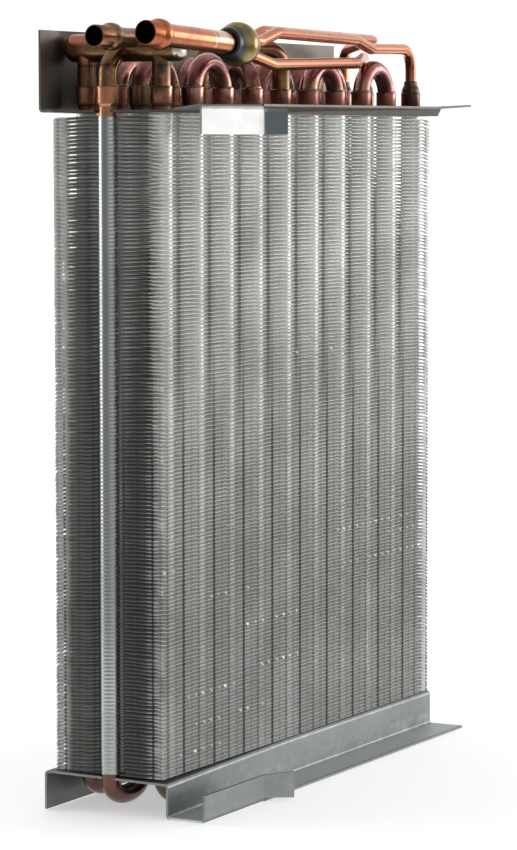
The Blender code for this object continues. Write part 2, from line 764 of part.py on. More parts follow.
def build_header(frame):
    """Make the suction header with its closed ends, and the three branches."""
    build = bmesh.new()
    header_solid(build, 0.0)
    ends = [face for face in build.faces if len(face.verts) > 4]
    for face in ends:
        rim = bmesh.ops.inset_region(build, faces=[face], thickness=HEADER_DOME_INSET, depth=0.0)
        outward = 1.0 if face.calc_center_median().y > 0.0 else -1.0
        for side in rim["faces"]:
            for corner in side.verts:
                if corner not in face.verts:
                    corner.co.y -= outward * HEADER_DOME
    mesh = new_mesh("suction_header", build)
    add_object("suction_header", mesh, frame, COPPER_STAINED)
    grown = bmesh.new()
    header_solid(grown, FIT)
    cutter = make_cutter("header_clearance", grown, frame)
    foot = BELL_RIM + FIT
    for name, row in (("header_branch_front", 0), ("header_branch_back", 2)):
        path = [Vector((0.0, 0.0, 0.0)), Vector((0.0, 0.0, HEADER_HEIGHT - foot))]
        mesh = swept_tube(name, path, [TUBE_RADIUS] * 2, TUBE_SIDES)
        place = (tube_x(row, 0), tube_y(row), foot)
        cut(add_object(name, mesh, frame, COPPER_STAINED, location=place), cutter)
    start = Vector((tube_x(1, 0), tube_y(1), foot))
    corners = [
        start,
        start + Vector((0.0, 0.0, BRANCH_STRAIGHT)),
        Vector((start.x + BRANCH_SLOPE, start.y, HEADER_HEIGHT - BRANCH_DROP)),
        Vector((tube_x(0, 0), start.y, HEADER_HEIGHT)),
    ]
    path = [point - start for point in round_corners(corners[:3], BRANCH_ROUND, 3)]
    path.append(corners[3] - start)
    mesh = swept_tube("header_branch_middle", path, [TUBE_RADIUS] * len(path), TUBE_SIDES)
    branch = add_object("header_branch_middle", mesh, frame, COPPER_BRIGHT, location=start)
    cut(branch, cutter)
    return cutter


def connection_profile(length, radius, bore, bell, bell_length, bead):
    """Return the turned outline of a belled connection tube."""
    ramp_end = bell_length + BEAD_RAMP
    bead_end = ramp_end + BEAD_WIDTH
    return (
        (SOCKET_DEPTH, 0.0),
        (SOCKET_DEPTH, bore),
        (0.0, bore),
        (0.0, bell),
        (bell_length, bell),
        (ramp_end, bead),
        (bead_end, bead),
        (bead_end + BEAD_FALL, radius),
        (length, radius),
        (length, 0.0),
    )


def build_connections(frame, header_cutter):
    """Make the suction and liquid connection tubes with open sockets."""
    reach = FIRST_TUBE_OUTER_ROWS - SUCTION_MOUTH_X
    profile = connection_profile(
        reach, SUCTION_RADIUS, SUCTION_BORE, SUCTION_BELL, SUCTION_BELL_LENGTH, SUCTION_BEAD
    )
    mesh = turned_piece("suction_connection", profile, CONNECTION_SIDES)
    place = (SUCTION_MOUTH_X, SUCTION_Y, SUCTION_HEIGHT)
    suction = add_object("suction_connection", mesh, frame, COPPER_STAINED, location=place)
    cut(suction, header_cutter)
    profile = connection_profile(
        LIQUID_LENGTH, LIQUID_RADIUS, LIQUID_BORE, LIQUID_BELL, LIQUID_BELL_LENGTH, LIQUID_BEAD
    )
    mesh = turned_piece("liquid_connection", profile, CONNECTION_SIDES)
    place = (LIQUID_MOUTH_X, LIQUID_Y, LIQUID_HEIGHT)
    liquid = add_object("liquid_connection", mesh, frame, COPPER_BRIGHT, location=place)
    liquid.rotation_euler = (0.0, LIQUID_DROP, 0.0)


def liquid_point(along, across, up):
    """Return a point given along the liquid tube's axis and square to it."""
    tilt = Matrix.Rotation(LIQUID_DROP, 3, "Y")
    mouth = Vector((LIQUID_MOUTH_X, LIQUID_Y, LIQUID_HEIGHT))
    return mouth + tilt @ Vector((along, across, up))


def build_distributor(frame):
    """Make the turned brass distributor on the end of the liquid tube."""
    socket = LIQUID_RADIUS + FIT
    cone_end = DISTRIBUTOR_COLLAR + DISTRIBUTOR_CONE
    rim_start = cone_end + DISTRIBUTOR_CHAMFER
    rim_end = rim_start + DISTRIBUTOR_RIM
    face = rim_end + DISTRIBUTOR_NOSE
    profile = (
        (DISTRIBUTOR_SOCKET + FIT, 0.0),
        (DISTRIBUTOR_SOCKET + FIT, socket),
        (0.0, socket),
        (0.0, DISTRIBUTOR_NECK),
        (DISTRIBUTOR_COLLAR, DISTRIBUTOR_NECK),
        (cone_end, DISTRIBUTOR_RADIUS - 0.5 * DISTRIBUTOR_CHAMFER),
        (rim_start, DISTRIBUTOR_RADIUS),
        (rim_end, DISTRIBUTOR_RADIUS),
        (face, DISTRIBUTOR_FACE),
        (face, 0.0),
    )
    mesh = turned_piece("distributor", profile, CONNECTION_SIDES)
    neck = LIQUID_LENGTH - DISTRIBUTOR_SOCKET
    body = add_object("distributor", mesh, frame, BRASS, location=liquid_point(neck, 0.0, 0.0))
    body.rotation_euler = (0.0, LIQUID_DROP, 0.0)
    return neck + face


def build_feeders(frame, outlet):
    """Sweep the three feeder tubes from the outlet face and stand them on reducers."""
    last = TUBES_PER_ROW - 1
    foot = REDUCER_TOP + FIT
    knee_x = liquid_point(outlet, 0.0, 0.0).x + KNEE_BEYOND
    ways = (
        (
            "feeder_front",
            0,
            150.0,
            (FRONT_KNEE_ACROSS, FRONT_KNEE_RISE),
            (FRONT_TURN_SHORT, FRONT_TURN_ACROSS, FRONT_TURN_RISE),
            FRONT_CREST_RISE,
        ),
        (
            "feeder_middle",
            1,
            -90.0,
            (MIDDLE_KNEE_ACROSS, MIDDLE_KNEE_RISE),
            (MIDDLE_TURN_SHORT, MIDDLE_TURN_ACROSS, MIDDLE_TURN_RISE),
            MIDDLE_CREST_RISE,
        ),
        (
            "feeder_back",
            2,
            30.0,
            (BACK_KNEE_ACROSS, BACK_KNEE_RISE),
            (BACK_TURN_SHORT, BACK_TURN_ACROSS, BACK_TURN_RISE),
            BACK_CREST_RISE,
        ),
    )
    for name, row, port, (knee_across, knee_rise), (short, across, rise), crest in ways:
        port_y = PORT_CIRCLE * math.cos(math.radians(port))
        port_z = PORT_CIRCLE * math.sin(math.radians(port))
        first = liquid_point(outlet + FIT, port_y, port_z)
        end = Vector((tube_x(row, last), tube_y(row), foot))
        corners = [
            first,
            liquid_point(outlet + FIT + FEEDER_STRAIGHT, port_y, port_z),
            Vector((knee_x, LIQUID_Y + knee_across, BELL_RIM + knee_rise)),
            Vector((LAST_TUBE_X - short, FRONT_ROW_Y + across, BELL_RIM + rise)),
            Vector((end.x, end.y, BELL_RIM + crest)),
            end,
        ]
        path = [point - first for point in round_corners(corners, FEEDER_BEND, 3)]
        mesh = swept_tube(name, path, [FEEDER_RADIUS] * len(path), FEEDER_SIDES)
        add_object(name, mesh, frame, COPPER_BRIGHT, location=first)


def build_reducers(frame):
    """Stand a reducer on the rim of each row's last tube."""
    last = TUBES_PER_ROW - 1
    base = BELL_RIM + FIT
    wide = TUBE_RADIUS + REDUCER_FOOT_WALL
    narrow = FEEDER_RADIUS + REDUCER_NECK_WALL
    levels = (0.0, REDUCER_FOOT, REDUCER_FOOT + REDUCER_TAPER, REDUCER_TOP - base)
    for row, name in enumerate(("inlet_reducer_front", "inlet_reducer_middle", "inlet_reducer_back")):
        path = [Vector((0.0, 0.0, level)) for level in levels]
        mesh = swept_tube(name, path, [wide, wide, narrow, narrow], TUBE_SIDES)
        place = (tube_x(row, last), tube_y(row), base)
        add_object(name, mesh, frame, COPPER_DARK, location=place)


def stand_on_origin(frame):
    """Move the frame so that the object's box stands on the origin."""
    bpy.context.view_layer.update()
    graph = bpy.context.evaluated_depsgraph_get()
    lows = Vector((1e9, 1e9, 1e9))
    highs = Vector((-1e9, -1e9, -1e9))
    for piece in bpy.data.objects:
        if piece.type != "MESH" or piece.hide_render:
            continue
        solid = piece.evaluated_get(graph)
        for corner in solid.data.vertices:
            point = piece.matrix_world @ corner.co
            lows = Vector(map(min, lows, point))
            highs = Vector(map(max, highs, point))
    frame.location = (-0.5 * (lows.x + highs.x), -0.5 * (lows.y + highs.y), -lows.z)
    bpy.context.view_layer.update()


def main():
    """Build the whole evaporator core."""
    clear_scene()
    frame = bpy.data.objects.new("coil_frame", None)
    bpy.context.scene.collection.objects.link(frame)
    build_fin_pack(frame)
    build_collar_column(frame)
    build_hairpins(frame)
    build_return_bends(frame)
    build_crossovers(frame)
    build_lower_plate(frame)
    build_upper_plate(frame)
    header_cutter = build_header(frame)
    build_connections(frame, header_cutter)
    outlet = build_distributor(frame)
    build_feeders(frame, outlet)
    build_reducers(frame)
    stand_on_origin(frame)


main()
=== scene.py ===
"""Dress the evaporator core: plate fins, copper tubes, end plates and pipework.

Lengths are in millimetres in the coil's own frame, whose corner (0, 0, 0) is
the lower front corner of the fin pack at the piped end. X runs along the wide
finned face, Y through the coil towards the back flanges, and Z is up.
"""

import logging
import math
from dataclasses import dataclass
from enum import Enum
from typing import Any, Callable, Optional, Sequence, Union

import bmesh
import bpy
import numpy as np
from mathutils import Matrix, Vector

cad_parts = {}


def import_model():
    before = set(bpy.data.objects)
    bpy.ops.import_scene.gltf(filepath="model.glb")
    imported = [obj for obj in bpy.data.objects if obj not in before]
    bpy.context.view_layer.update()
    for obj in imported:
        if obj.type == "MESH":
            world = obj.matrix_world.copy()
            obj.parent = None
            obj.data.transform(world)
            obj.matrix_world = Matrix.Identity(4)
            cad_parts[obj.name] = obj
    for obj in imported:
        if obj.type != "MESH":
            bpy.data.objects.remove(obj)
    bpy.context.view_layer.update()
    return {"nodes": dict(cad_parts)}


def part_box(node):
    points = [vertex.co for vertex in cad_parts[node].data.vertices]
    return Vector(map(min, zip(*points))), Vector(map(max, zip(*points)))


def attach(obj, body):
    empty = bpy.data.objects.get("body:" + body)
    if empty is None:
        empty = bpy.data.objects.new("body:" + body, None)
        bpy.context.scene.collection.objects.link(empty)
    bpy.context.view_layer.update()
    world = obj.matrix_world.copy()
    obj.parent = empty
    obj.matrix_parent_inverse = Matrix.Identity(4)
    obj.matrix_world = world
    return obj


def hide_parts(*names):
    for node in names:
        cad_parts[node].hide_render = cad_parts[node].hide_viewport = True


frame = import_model()

MM = 0.001
BODY = "root"
ORIGIN = Vector(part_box("fin_pack")[0])
Colour = tuple[float, float, float]
Point = Sequence[float]
Station = tuple[Point, float]
Face = tuple[int, ...]
log = logging.getLogger("evaporator")


def world(point: Point) -> Vector:
    """Return a point of the coil's frame, in millimetres, as metres in the world."""
    return ORIGIN + Vector(point) * MM


class Slot(Enum):
    """The record's material slots, named for the pieces' finishes."""

    FINS = "fin_aluminium"
    SHEET = "galvanised_sheet"
    DULL = "copper_dull"
    STAINED = "copper_stained"
    BRIGHT = "copper_bright"
    DARK = "copper_dark"
    BRASS = "brass_turned"


# Shader building


class Signal:
    """A number that varies over a surface; arithmetic on it adds Math nodes."""

    def __init__(self, board: "Board", socket: bpy.types.NodeSocket) -> None:
        """Keep the socket and the board that its nodes go to."""
        self.board = board
        self.socket = socket

    def _math(self, operation: str, first: "Value", second: "Value" = None, clamp: bool = False) -> "Signal":
        """Add one Math node.

        Args:
            operation: the node's operation.
            first: its first value or link.
            second: its second value or link, if the operation has one.
            clamp: keep the result between 0 and 1.

        Returns:
            The node's result.
        """
        inputs = {0: first} if second is None else {0: first, 1: second}
        return self.board.add("ShaderNodeMath", {"operation": operation, "use_clamp": clamp}, inputs)

    def __add__(self, other: "Value") -> "Signal":
        """Return self + other."""
        return self._math("ADD", self, other)

    def __radd__(self, other: "Value") -> "Signal":
        """Return other + self."""
        return self._math("ADD", other, self)

    def __sub__(self, other: "Value") -> "Signal":
        """Return self - other."""
        return self._math("SUBTRACT", self, other)

    def __rsub__(self, other: "Value") -> "Signal":
        """Return other - self."""
        return self._math("SUBTRACT", other, self)

    def __mul__(self, other: "Value") -> "Signal":
        """Return self * other."""
        return self._math("MULTIPLY", self, other)

    def __rmul__(self, other: "Value") -> "Signal":
        """Return other * self."""
        return self._math("MULTIPLY", other, self)

    def size(self) -> "Signal":
        """Return the absolute value."""
        return self._math("ABSOLUTE", self)

    def clamped(self) -> "Signal":
        """Return the value kept between 0 and 1."""
        return self._math("ADD", self, 0.0, clamp=True)

    def off_beat(self, period: float) -> "Signal":
        """Return the distance to the nearest whole multiple of a period."""
        return self._math("PINGPONG", self, 0.5 * period)

    def step(self, low: float, high: float) -> "Signal":
        """Return a smooth 0 to 1 rise of the value from low to high."""
        inputs = {"Value": self, "From Min": low, "From Max": high}
        return self.board.add("ShaderNodeMapRange", {"interpolation_type": "SMOOTHSTEP"}, inputs)


Value = Union[Signal, float, int, Colour, None]


class Board:
    """A node tree under construction."""

    def __init__(self, tree: bpy.types.NodeTree) -> None:
        """Keep the tree."""
        self.tree = tree

    def add(
        self,
        kind: str,
        settings: dict[str, Any],
        inputs: dict[Union[str, int], Value],
        output: Union[str, int] = 0,
    ) -> Signal:
        """Add a node.

        Args:
            kind: the node's type.
            settings: its own settings, which are set first.
            inputs: values or links of its sockets, by name or number.
            output: the socket that the result is read from.

        Returns:
            The chosen output.
        """
        node = self.tree.nodes.new(kind)
        for key, value in settings.items():
            setattr(node, key, value)
        for key, value in inputs.items():
            self._feed(node.inputs[key], value)
        return Signal(self, node.outputs[output])

    def _feed(self, socket: bpy.types.NodeSocket, value: Value) -> None:
        """Link or set one input.

        Args:
            socket: the input.
            value: a link, a number or a colour; None leaves the input alone.
        """
        if isinstance(value, Signal):
            self.tree.links.new(value.socket, socket)
        elif isinstance(value, tuple) and len(socket.default_value) == 4:
            socket.default_value = (*value, 1.0)
        elif value is not None:
            socket.default_value = value

    def mix(self, factor: Value, first: Value, second: Value) -> Signal:
        """Return a blend of two colours, which go to the Mix node's sockets 6 and 7."""
        return self.add("ShaderNodeMix", {"data_type": "RGBA"}, {0: factor, 6: first, 7: second}, 2)


class Sheet(Board):
    """One material under construction, with a Principled shader."""

    def __init__(self, name: str, metallic: float = 1.0) -> None:
        """Start a material.

        Args:
            name: the material's name.
            metallic: how metallic it is all over.
        """
        self.material = bpy.data.materials.new(name)
        self.material.use_nodes = True
        super().__init__(self.material.node_tree)
        self.shader = self.tree.nodes["Principled BSDF"]
        self.shader.inputs["Metallic"].default_value = metallic
        self.place = self.add("ShaderNodeTexCoord", {}, {}, "Object")

    def noise(
        self, scale: float, detail: float, stretch: Colour = (1.0, 1.0, 1.0), seed: float = 0.0
    ) -> Signal:
        """Return a noise value over the surface.

        Args:
            scale: cells to the metre.
            detail: octaves of finer noise.
            stretch: factors on the three axes, for streaks.
            seed: moves the noise, so that two don't match.

        Returns:
            The noise, from 0 to 1.
        """
        shift = (seed, 0.7 * seed, 0.3 * seed)
        place = self.add("ShaderNodeMapping", {}, {"Vector": self.place, "Scale": stretch, "Location": shift})
        return self.add("ShaderNodeTexNoise", {}, {"Vector": place, "Scale": scale, "Detail": detail})

    def axis(self, name: str) -> Signal:
        """Return one coordinate of the surface, in metres."""
        return self.add("ShaderNodeSeparateXYZ", {}, {"Vector": self.place}, name)

    def bump(self, height: Signal, strength: float, distance: float) -> None:
        """Feed the shader's normal from a height.

        Args:
            height: the height, 0 to 1.
            strength: the bump's strength.
            distance: the depth of the bump in metres.
        """
        inputs = {"Height": height, "Strength": strength, "Distance": distance}
        self.feed_shader("Normal", self.add("ShaderNodeBump", {}, inputs))

    def feed_shader(self, name: str, value: Value) -> None:
        """Link or set one input of the shader."""
        self._feed(self.shader.inputs[name], value)

    def finish(self, colour: Value, roughness: Value) -> bpy.types.Material:
        """Connect colour and roughness.

        Args:
            colour: the base colour.
            roughness: the roughness.

        Returns:
            The finished material.
        """
        self.feed_shader("Base Color", colour)
        self.feed_shader("Roughness", roughness)
        return self.material


# Finishes


@dataclass(frozen=True)
class Tint:
    """A tone that takes over inside a box, with a soft and uneven border.

    The box's corners are in the coil's frame; None leaves that side open.
    """

    colour: Colour
    low: tuple[Optional[float], Optional[float], Optional[float]]
    high: tuple[Optional[float], Optional[float], Optional[float]]
    soft: float = 2.0
    share: float = 0.9
    unevenness: float = 1.6

    def mask(self, sheet: Sheet) -> Signal:
        """Work out where the tone lies.

        Args:
            sheet: the material under construction.

        Returns:
            How much of the tone there is, from 0 to 1.
        """
        soft = self.soft * MM
        wobble = (sheet.noise(140.0, 3.0, seed=21.0) - 0.5) * (self.unevenness * soft)
        share: Value = self.share
        for name, start, low, high in zip("XYZ", ORIGIN, self.low, self.high):
            place = sheet.axis(name) + wobble
            if low is not None:
                edge = start + low * MM
                share = place.step(edge - soft, edge + soft) * share
            if high is not None:
                edge = start + high * MM
                share = (1.0 - place.step(edge - soft, edge + soft)) * share
        return share

    @staticmethod
    def paint(sheet: Sheet, colour: Value, tints: Sequence["Tint"]) -> Value:
        """Lay every tint over a colour in turn.

        Args:
            sheet: the material under construction.
            colour: the colour below.
            tints: the tints, the lowest first.

        Returns:
            The colour with its tints.
        """
        for tint in tints:
            colour = sheet.mix(tint.mask(sheet), colour, tint.colour)
        return colour


@dataclass(frozen=True)
class ShadeStripe:
    """A painted shade stripe, dark and upright, that repeats at every tube, above or below a level.

    It goes back into the fins at a slant, in millimetres of X to one of Y.
    """

    start: float
    share: float
    half: float = 1.9
    upper: bool = False
    level: float = 190.0
    fade: float = 45.0
    pitch: float = 31.75
    slant: float = 1.83
    core: float = 0.2
    fading: float = 0.8

    def mask(self, sheet: Sheet) -> Signal:
        """Work out where the stripe lies.

        Args:
            sheet: the material under construction.

        Returns:
            How dark the stripe is, from 0 to 1.
        """
        corner = world((0.0, 0.0, self.level))
        along = sheet.axis("X") - corner.x - (sheet.axis("Y") - corner.y) * self.slant
        away = (along - self.start * MM).off_beat(self.pitch * MM)
        line = 1.0 - away.step(self.core * self.half * MM, self.half * MM)
        above = sheet.axis("Z").step(corner.z - self.fade * MM, corner.z + self.fade * MM)
        return line * self.share * (above if self.upper else 1.0 - above * self.fading)


@dataclass(frozen=True)
class FinFinish:
    """Bare aluminium fin stock, dulled in patches, with painted shade that darkens it towards the bottom and
    painted shade stripes over the tubes.

    Its faint glow is painted light that stands for the light that is lost between thin sheets.
    """

    name: str
    light: Colour = (0.88, 0.88, 0.86)
    dull: Colour = (0.70, 0.70, 0.68)
    shade: Colour = (0.10, 0.10, 0.095)
    # share of the colour left at the bottom, for the painted shade low down
    low_share: float = 0.74
    smooth: float = 0.36
    rough: float = 0.52
    metallic: float = 0.20
    glow: float = 0.10
    low_level: float = 40.0
    high_level: float = 300.0
    shade_stripes: tuple[ShadeStripe, ...] = ()
    tints: tuple[Tint, ...] = ()

    def build(self) -> bpy.types.Material:
        """Build the material.

        Returns:
            The finished material.
        """
        sheet = Sheet(self.name, self.metallic)
        patches = sheet.noise(26.0, 5.0)
        fine = sheet.noise(900.0, 2.0, seed=2.0)
        dulling = (patches * 0.7 + fine * 0.3).step(0.36, 0.66)
        colour = sheet.mix(dulling, self.light, self.dull)
        # painted shade: the colour is mixed towards black lower down the fins
        height = (sheet.axis("Z") - ORIGIN.z).step(self.low_level * MM, self.high_level * MM)
        colour = sheet.mix((1.0 - height) * (1.0 - self.low_share), colour, (0.0, 0.0, 0.0))
        # painted shade: each stripe darkens the colour towards the shade colour
        for stripe in self.shade_stripes:
            colour = sheet.mix(stripe.mask(sheet), colour, self.shade)
        colour = Tint.paint(sheet, colour, self.tints)
        # painted light: the colour glows faintly
        sheet.feed_shader("Emission Color", colour)
        sheet.shader.inputs["Emission Strength"].default_value = self.glow
        sheet.bump(fine, 0.25, 0.00006)
        return sheet.finish(colour, dulling * (self.rough - self.smooth) + self.smooth)


@dataclass(frozen=True)
class SheetFinish:
    """Galvanised sheet: grey zinc with a faint spangle and rolling streaks, with tints of heat stain, painted
    shade and painted reflection.
    """

    name: str
    light: Colour = (0.30, 0.32, 0.312)
    dark: Colour = (0.245, 0.265, 0.257)
    smooth: float = 0.46
    rough: float = 0.53
    tints: tuple[Tint, ...] = ()

    def build(self) -> bpy.types.Material:
        """Build the material.

        Returns:
            The finished material.
        """
        sheet = Sheet(self.name)
        sheet.shader.inputs["Specular Tint"].default_value = (0.50, 0.48, 0.46, 1.0)
        spangle = sheet.add("ShaderNodeTexVoronoi", {}, {"Vector": sheet.place, "Scale": 200.0}, "Color")
        grain = sheet.add("ShaderNodeSeparateColor", {}, {"Color": spangle}, 0)
        streaks = sheet.noise(38.0, 4.0, stretch=(0.35, 1.0, 3.0))
        cloud = sheet.noise(18.0, 3.0, seed=4.0)
        tone = (streaks * 0.45 + cloud * 0.43 + grain * 0.12).step(0.30, 0.70)
        colour = Tint.paint(sheet, sheet.mix(tone, self.light, self.dark), self.tints)
        sheet.bump(sheet.noise(520.0, 2.0, seed=7.0), 0.12, 0.00008)
        return sheet.finish(colour, tone * (self.rough - self.smooth) + self.smooth)


@dataclass(frozen=True)
class CopperFinish:
    """Copper with a clean tone, an oxide tone and heat stain around its joints.

    The stain is strongest at the level of the brazed joints and fades above
    and below it. An open socket's inside is painted near black as shade.
    """

    name: str
    clean: Colour
    oxide: Colour
    stain: Colour
    scorch: Colour = (0.05, 0.04, 0.035)
    oxide_share: float = 0.5
    stain_share: float = 0.5
    joint_level: float = 349.6
    joint_reach: float = 9.0
    smooth: float = 0.20
    rough: float = 0.40
    patch: float = 55.0
    coat: float = 0.0
    tints: tuple[Tint, ...] = ()
    mouth: Optional[tuple[float, float, float]] = None
    bore: float = 5.0
    socket_depth: float = 13.0
    socket_shade: Colour = (0.016, 0.006, 0.005)

    def inside(self, sheet: Sheet) -> Signal:
        """Work out where the open socket's inside is.

        Args:
            sheet: the material under construction.

        Returns:
            1 inside and 0 elsewhere.
        """
        start = world(self.mouth)
        across = sheet.axis("Y") - start.y
        up = sheet.axis("Z") - start.z
        reach = across * across + up * up
        near = 1.0 - reach.step((self.bore * MM) ** 2, ((self.bore + 0.25) * MM) ** 2)
        floor = start.x + self.socket_depth * MM
        return near * (1.0 - sheet.axis("X").step(floor - 0.2 * MM, floor + 0.2 * MM))

    def build(self) -> bpy.types.Material:
        """Build the material.

        Returns:
            The finished material.
        """
        sheet = Sheet(self.name)
        sheet.shader.inputs["Coat Weight"].default_value = self.coat
        sheet.shader.inputs["Coat Roughness"].default_value = 0.12
        height = (sheet.axis("Z") - world((0.0, 0.0, self.joint_level)).z).size()
        near = 1.0 - height.step(0.1 * self.joint_reach * MM, self.joint_reach * MM)
        rim = 1.0 - height.step(0.25 * MM, 0.9 * MM)
        cloud = sheet.noise(self.patch, 4.0)
        speckle = sheet.noise(620.0, 3.0, seed=3.0)
        oxide = (cloud * 0.75 + speckle * 0.25 + (self.oxide_share - 0.5)).step(0.40, 0.60)
        wash = sheet.noise(1.6 * self.patch, 3.0, seed=9.0)
        heat = ((wash + (self.stain_share - 0.5)).step(0.42, 0.58) * near).clamped()
        burnt = (sheet.noise(90.0, 4.0, seed=14.0).step(0.56, 0.68) * near).clamped()
        colour = sheet.mix(oxide, self.clean, self.oxide)
        colour = sheet.mix(heat, colour, self.stain)
        colour = Tint.paint(sheet, colour, self.tints)
        colour = sheet.mix((burnt * 0.85 + rim * 0.75).clamped(), colour, self.scorch)
        # Painted shade: the open socket's inside is painted near black.
        if self.mouth is not None:
            colour = sheet.mix(self.inside(sheet) * 0.97, colour, self.socket_shade)
        sheet.bump(speckle, 0.10, 0.00010)
        rough = oxide * (self.rough - self.smooth) + self.smooth + burnt * 0.15
        return sheet.finish(colour, rough)


@dataclass(frozen=True)
class BrassFinish:
    """Turned brass, darkened to grey on the side where it was heated."""

    name: str
    clean: Colour = (0.46, 0.33, 0.12)
    dull: Colour = (0.25, 0.19, 0.08)
    heated: Colour = (0.085, 0.090, 0.080)
    heat_from: float = 49.0
    heat_to: float = 55.0

    def build(self) -> bpy.types.Material:
        """Build the material.

        Returns:
            The finished material.
        """
        sheet = Sheet(self.name)
        along = sheet.axis("X") - ORIGIN.x
        cloud = sheet.noise(90.0, 4.0)
        heat = 1.0 - (along + (cloud - 0.5) * 0.004).step(self.heat_from * MM, self.heat_to * MM)
        rings = sheet.noise(1400.0, 1.0, stretch=(1.0, 0.02, 0.02), seed=5.0)
        colour = sheet.mix(cloud.step(0.4, 0.62), self.clean, self.dull)
        colour = sheet.mix(heat, colour, self.heated)
        sheet.bump(rings, 0.2, 0.00008)
        return sheet.finish(colour, heat * 0.14 + 0.26)


@dataclass(frozen=True)
class PaperFinish:
    """Pale paper floor: it glows behind the coil and darkens off to the sides."""

    glow: float
    far_glow: float
    yaw: float
    name: str = "studio_floor"
    tone: Colour = (0.90, 0.90, 0.89)
    dim: Colour = (0.42, 0.42, 0.415)
    dim_from: float = 0.28
    dim_to: float = 0.80
    side_share: float = 0.3
    side_reach: float = 1.6
    far_from: float = 0.1
    far_to: float = 1.2

    def build(self) -> bpy.types.Material:
        """Build the material.

        Returns:
            The finished material.
        """
        sheet = Sheet(self.name, metallic=0.0)
        sine, cosine = math.sin(self.yaw), math.cos(self.yaw)
        ahead = sheet.axis("X") * sine + sheet.axis("Y") * cosine
        aside = (sheet.axis("X") * cosine - sheet.axis("Y") * sine).size()
        spread = aside - ahead * self.side_share
        dimmed = ((-1.0) * ahead).step(self.dim_from, self.dim_to)
        dimmed = (dimmed + spread.step(self.dim_from, self.side_reach * self.dim_to)).clamped()
        colour = sheet.mix(dimmed, self.tone, self.dim)
        glow = ahead.step(self.far_from, self.far_to) * (self.far_glow - self.glow) + self.glow
        sheet.shader.inputs["Emission Strength"].default_value = 1.0
        channels = {name: glow * (1.0 - dimmed) for name in ("Red", "Green", "Blue")}
        sheet.feed_shader("Emission Color", sheet.add("ShaderNodeCombineColor", {}, channels))
        return sheet.finish(colour, 0.75)


# Painted shade: dark upright stripes where the gaps between fins and collars fall into shade, low down, and
# one broad band high up.
SHADE_STRIPES = (
    ShadeStripe(21.2, 0.95),
    ShadeStripe(36.8, 0.60),
    ShadeStripe(29.4, 0.30),
    ShadeStripe(13.5, 0.30),
    ShadeStripe(16.8, 0.62, half=3.4, upper=True),
)
FIN_SHADE_AND_LIGHT = (
    # Painted shade on the narrow end face, in front of the open sleeve and behind it.
    Tint((0.12, 0.12, 0.11), (None, 9.0, None), (30.0, 28.0, None), soft=3.0, share=0.85),
    Tint((0.12, 0.12, 0.11), (None, 36.0, None), (24.0, 56.0, None), soft=2.0, share=0.85),
    # Painted light: a lighter band where the back flaps hang in the shade of the fin above.
    Tint((0.74, 0.74, 0.72), (None, 60.0, None), (16.0, 62.6, None), soft=0.5, share=0.9),
    # Painted shade: a darker band on the back flaps that the left softbox lights.
    Tint((0.58, 0.58, 0.57), (5.0, 62.6, None), (20.0, None, None), soft=0.8, share=0.9),
)
FLANGE_STAIN_SHADE_AND_SHEEN = (
    # Brown-grey on the back flange: heat stain from brazing the header, and painted dark reflection.
    Tint((0.17, 0.150, 0.130), (None, 60.0, 338.5), (None, None, 401.0), soft=1.2, share=0.92),
    # Painted dark reflection on the back flange near the header.
    Tint((0.035, 0.030, 0.027), (10.0, 60.0, 338.5), (70.0, None, 396.0), soft=5.0, share=0.75),
    # Painted shade on the top plate's left end, under the header and its branches.
    Tint((0.14, 0.12, 0.11), (None, -8.0, 335.0), (46.0, 60.0, 338.6), soft=0.6, share=0.85),
    # Painted shade on the front flange's top edge, which also dulls its fold highlight.
    Tint((0.16, 0.145, 0.13), (66.0, None, 333.0), (None, 1.0, None), soft=0.6, share=0.9),
    # Painted shade on the bent part of the upper lip, which faces away from the light.
    Tint((0.115, 0.145, 0.155), (64.3, None, 316.0), (84.0, -19.0, 337.0), soft=0.5, share=0.95),
    # Painted reflection: the upper lip lighter, where it mirrors the right softbox.
    Tint((0.52, 0.52, 0.515), (None, None, 316.0), (64.3, -22.0, 338.0), soft=0.5, share=0.9),
    Tint((0.68, 0.73, 0.71), (None, -22.0, None), (None, -2.6, -12.0), soft=0.8, share=0.9),
)
BELL_TINTS = (
    Tint((0.62, 0.27, 0.12), (None, 25.0, None), (8.0, 40.0, None), share=0.8),
    Tint((0.50, 0.20, 0.11), (10.0, 46.0, None), (26.0, None, None), share=0.8),
    Tint((0.20, 0.14, 0.06), (26.0, 25.0, 336.0), (41.0, 40.0, None), share=0.85),
    Tint((0.52, 0.25, 0.12), (10.0, None, 336.0), (25.0, 17.0, None), share=0.7),
    Tint((0.035, 0.030, 0.030), (40.0, 9.0, 336.0), (48.0, 17.0, None), soft=1.2, share=0.9),
    Tint((0.46, 0.17, 0.16), (112.0, None, 336.0), (None, None, None), soft=8.0, share=0.45),
    Tint((0.07, 0.035, 0.028), (294.0, None, 336.0), (None, 18.0, None), soft=1.5, share=0.85),
    # Dark brown-purple on the lower U-bends: oxide, and painted shade under the fin pack.
    Tint((0.075, 0.032, 0.029), (None, None, None), (None, None, 1.0), soft=1.5, share=0.9),
)
HEADER_STAINS_AND_HIGHLIGHT = (
    Tint((0.50, 0.17, 0.11), (8.0, 50.0, 360.0), (28.0, None, None), soft=5.0, share=0.75),
    Tint((0.12, 0.10, 0.06), (8.0, 4.0, 360.0), (28.0, 46.0, 365.0), soft=2.0, share=0.6),
    # Painted highlight: a cream spot on the header's front end.
    Tint((0.86, 0.80, 0.68), (8.0, -5.0, 364.0), (28.0, -0.4, 372.5), soft=0.8, share=0.85),
    Tint((0.16, 0.10, 0.06), (-18.0, 10.0, 360.0), (-8.0, 30.0, None), soft=1.5, share=0.7),
)
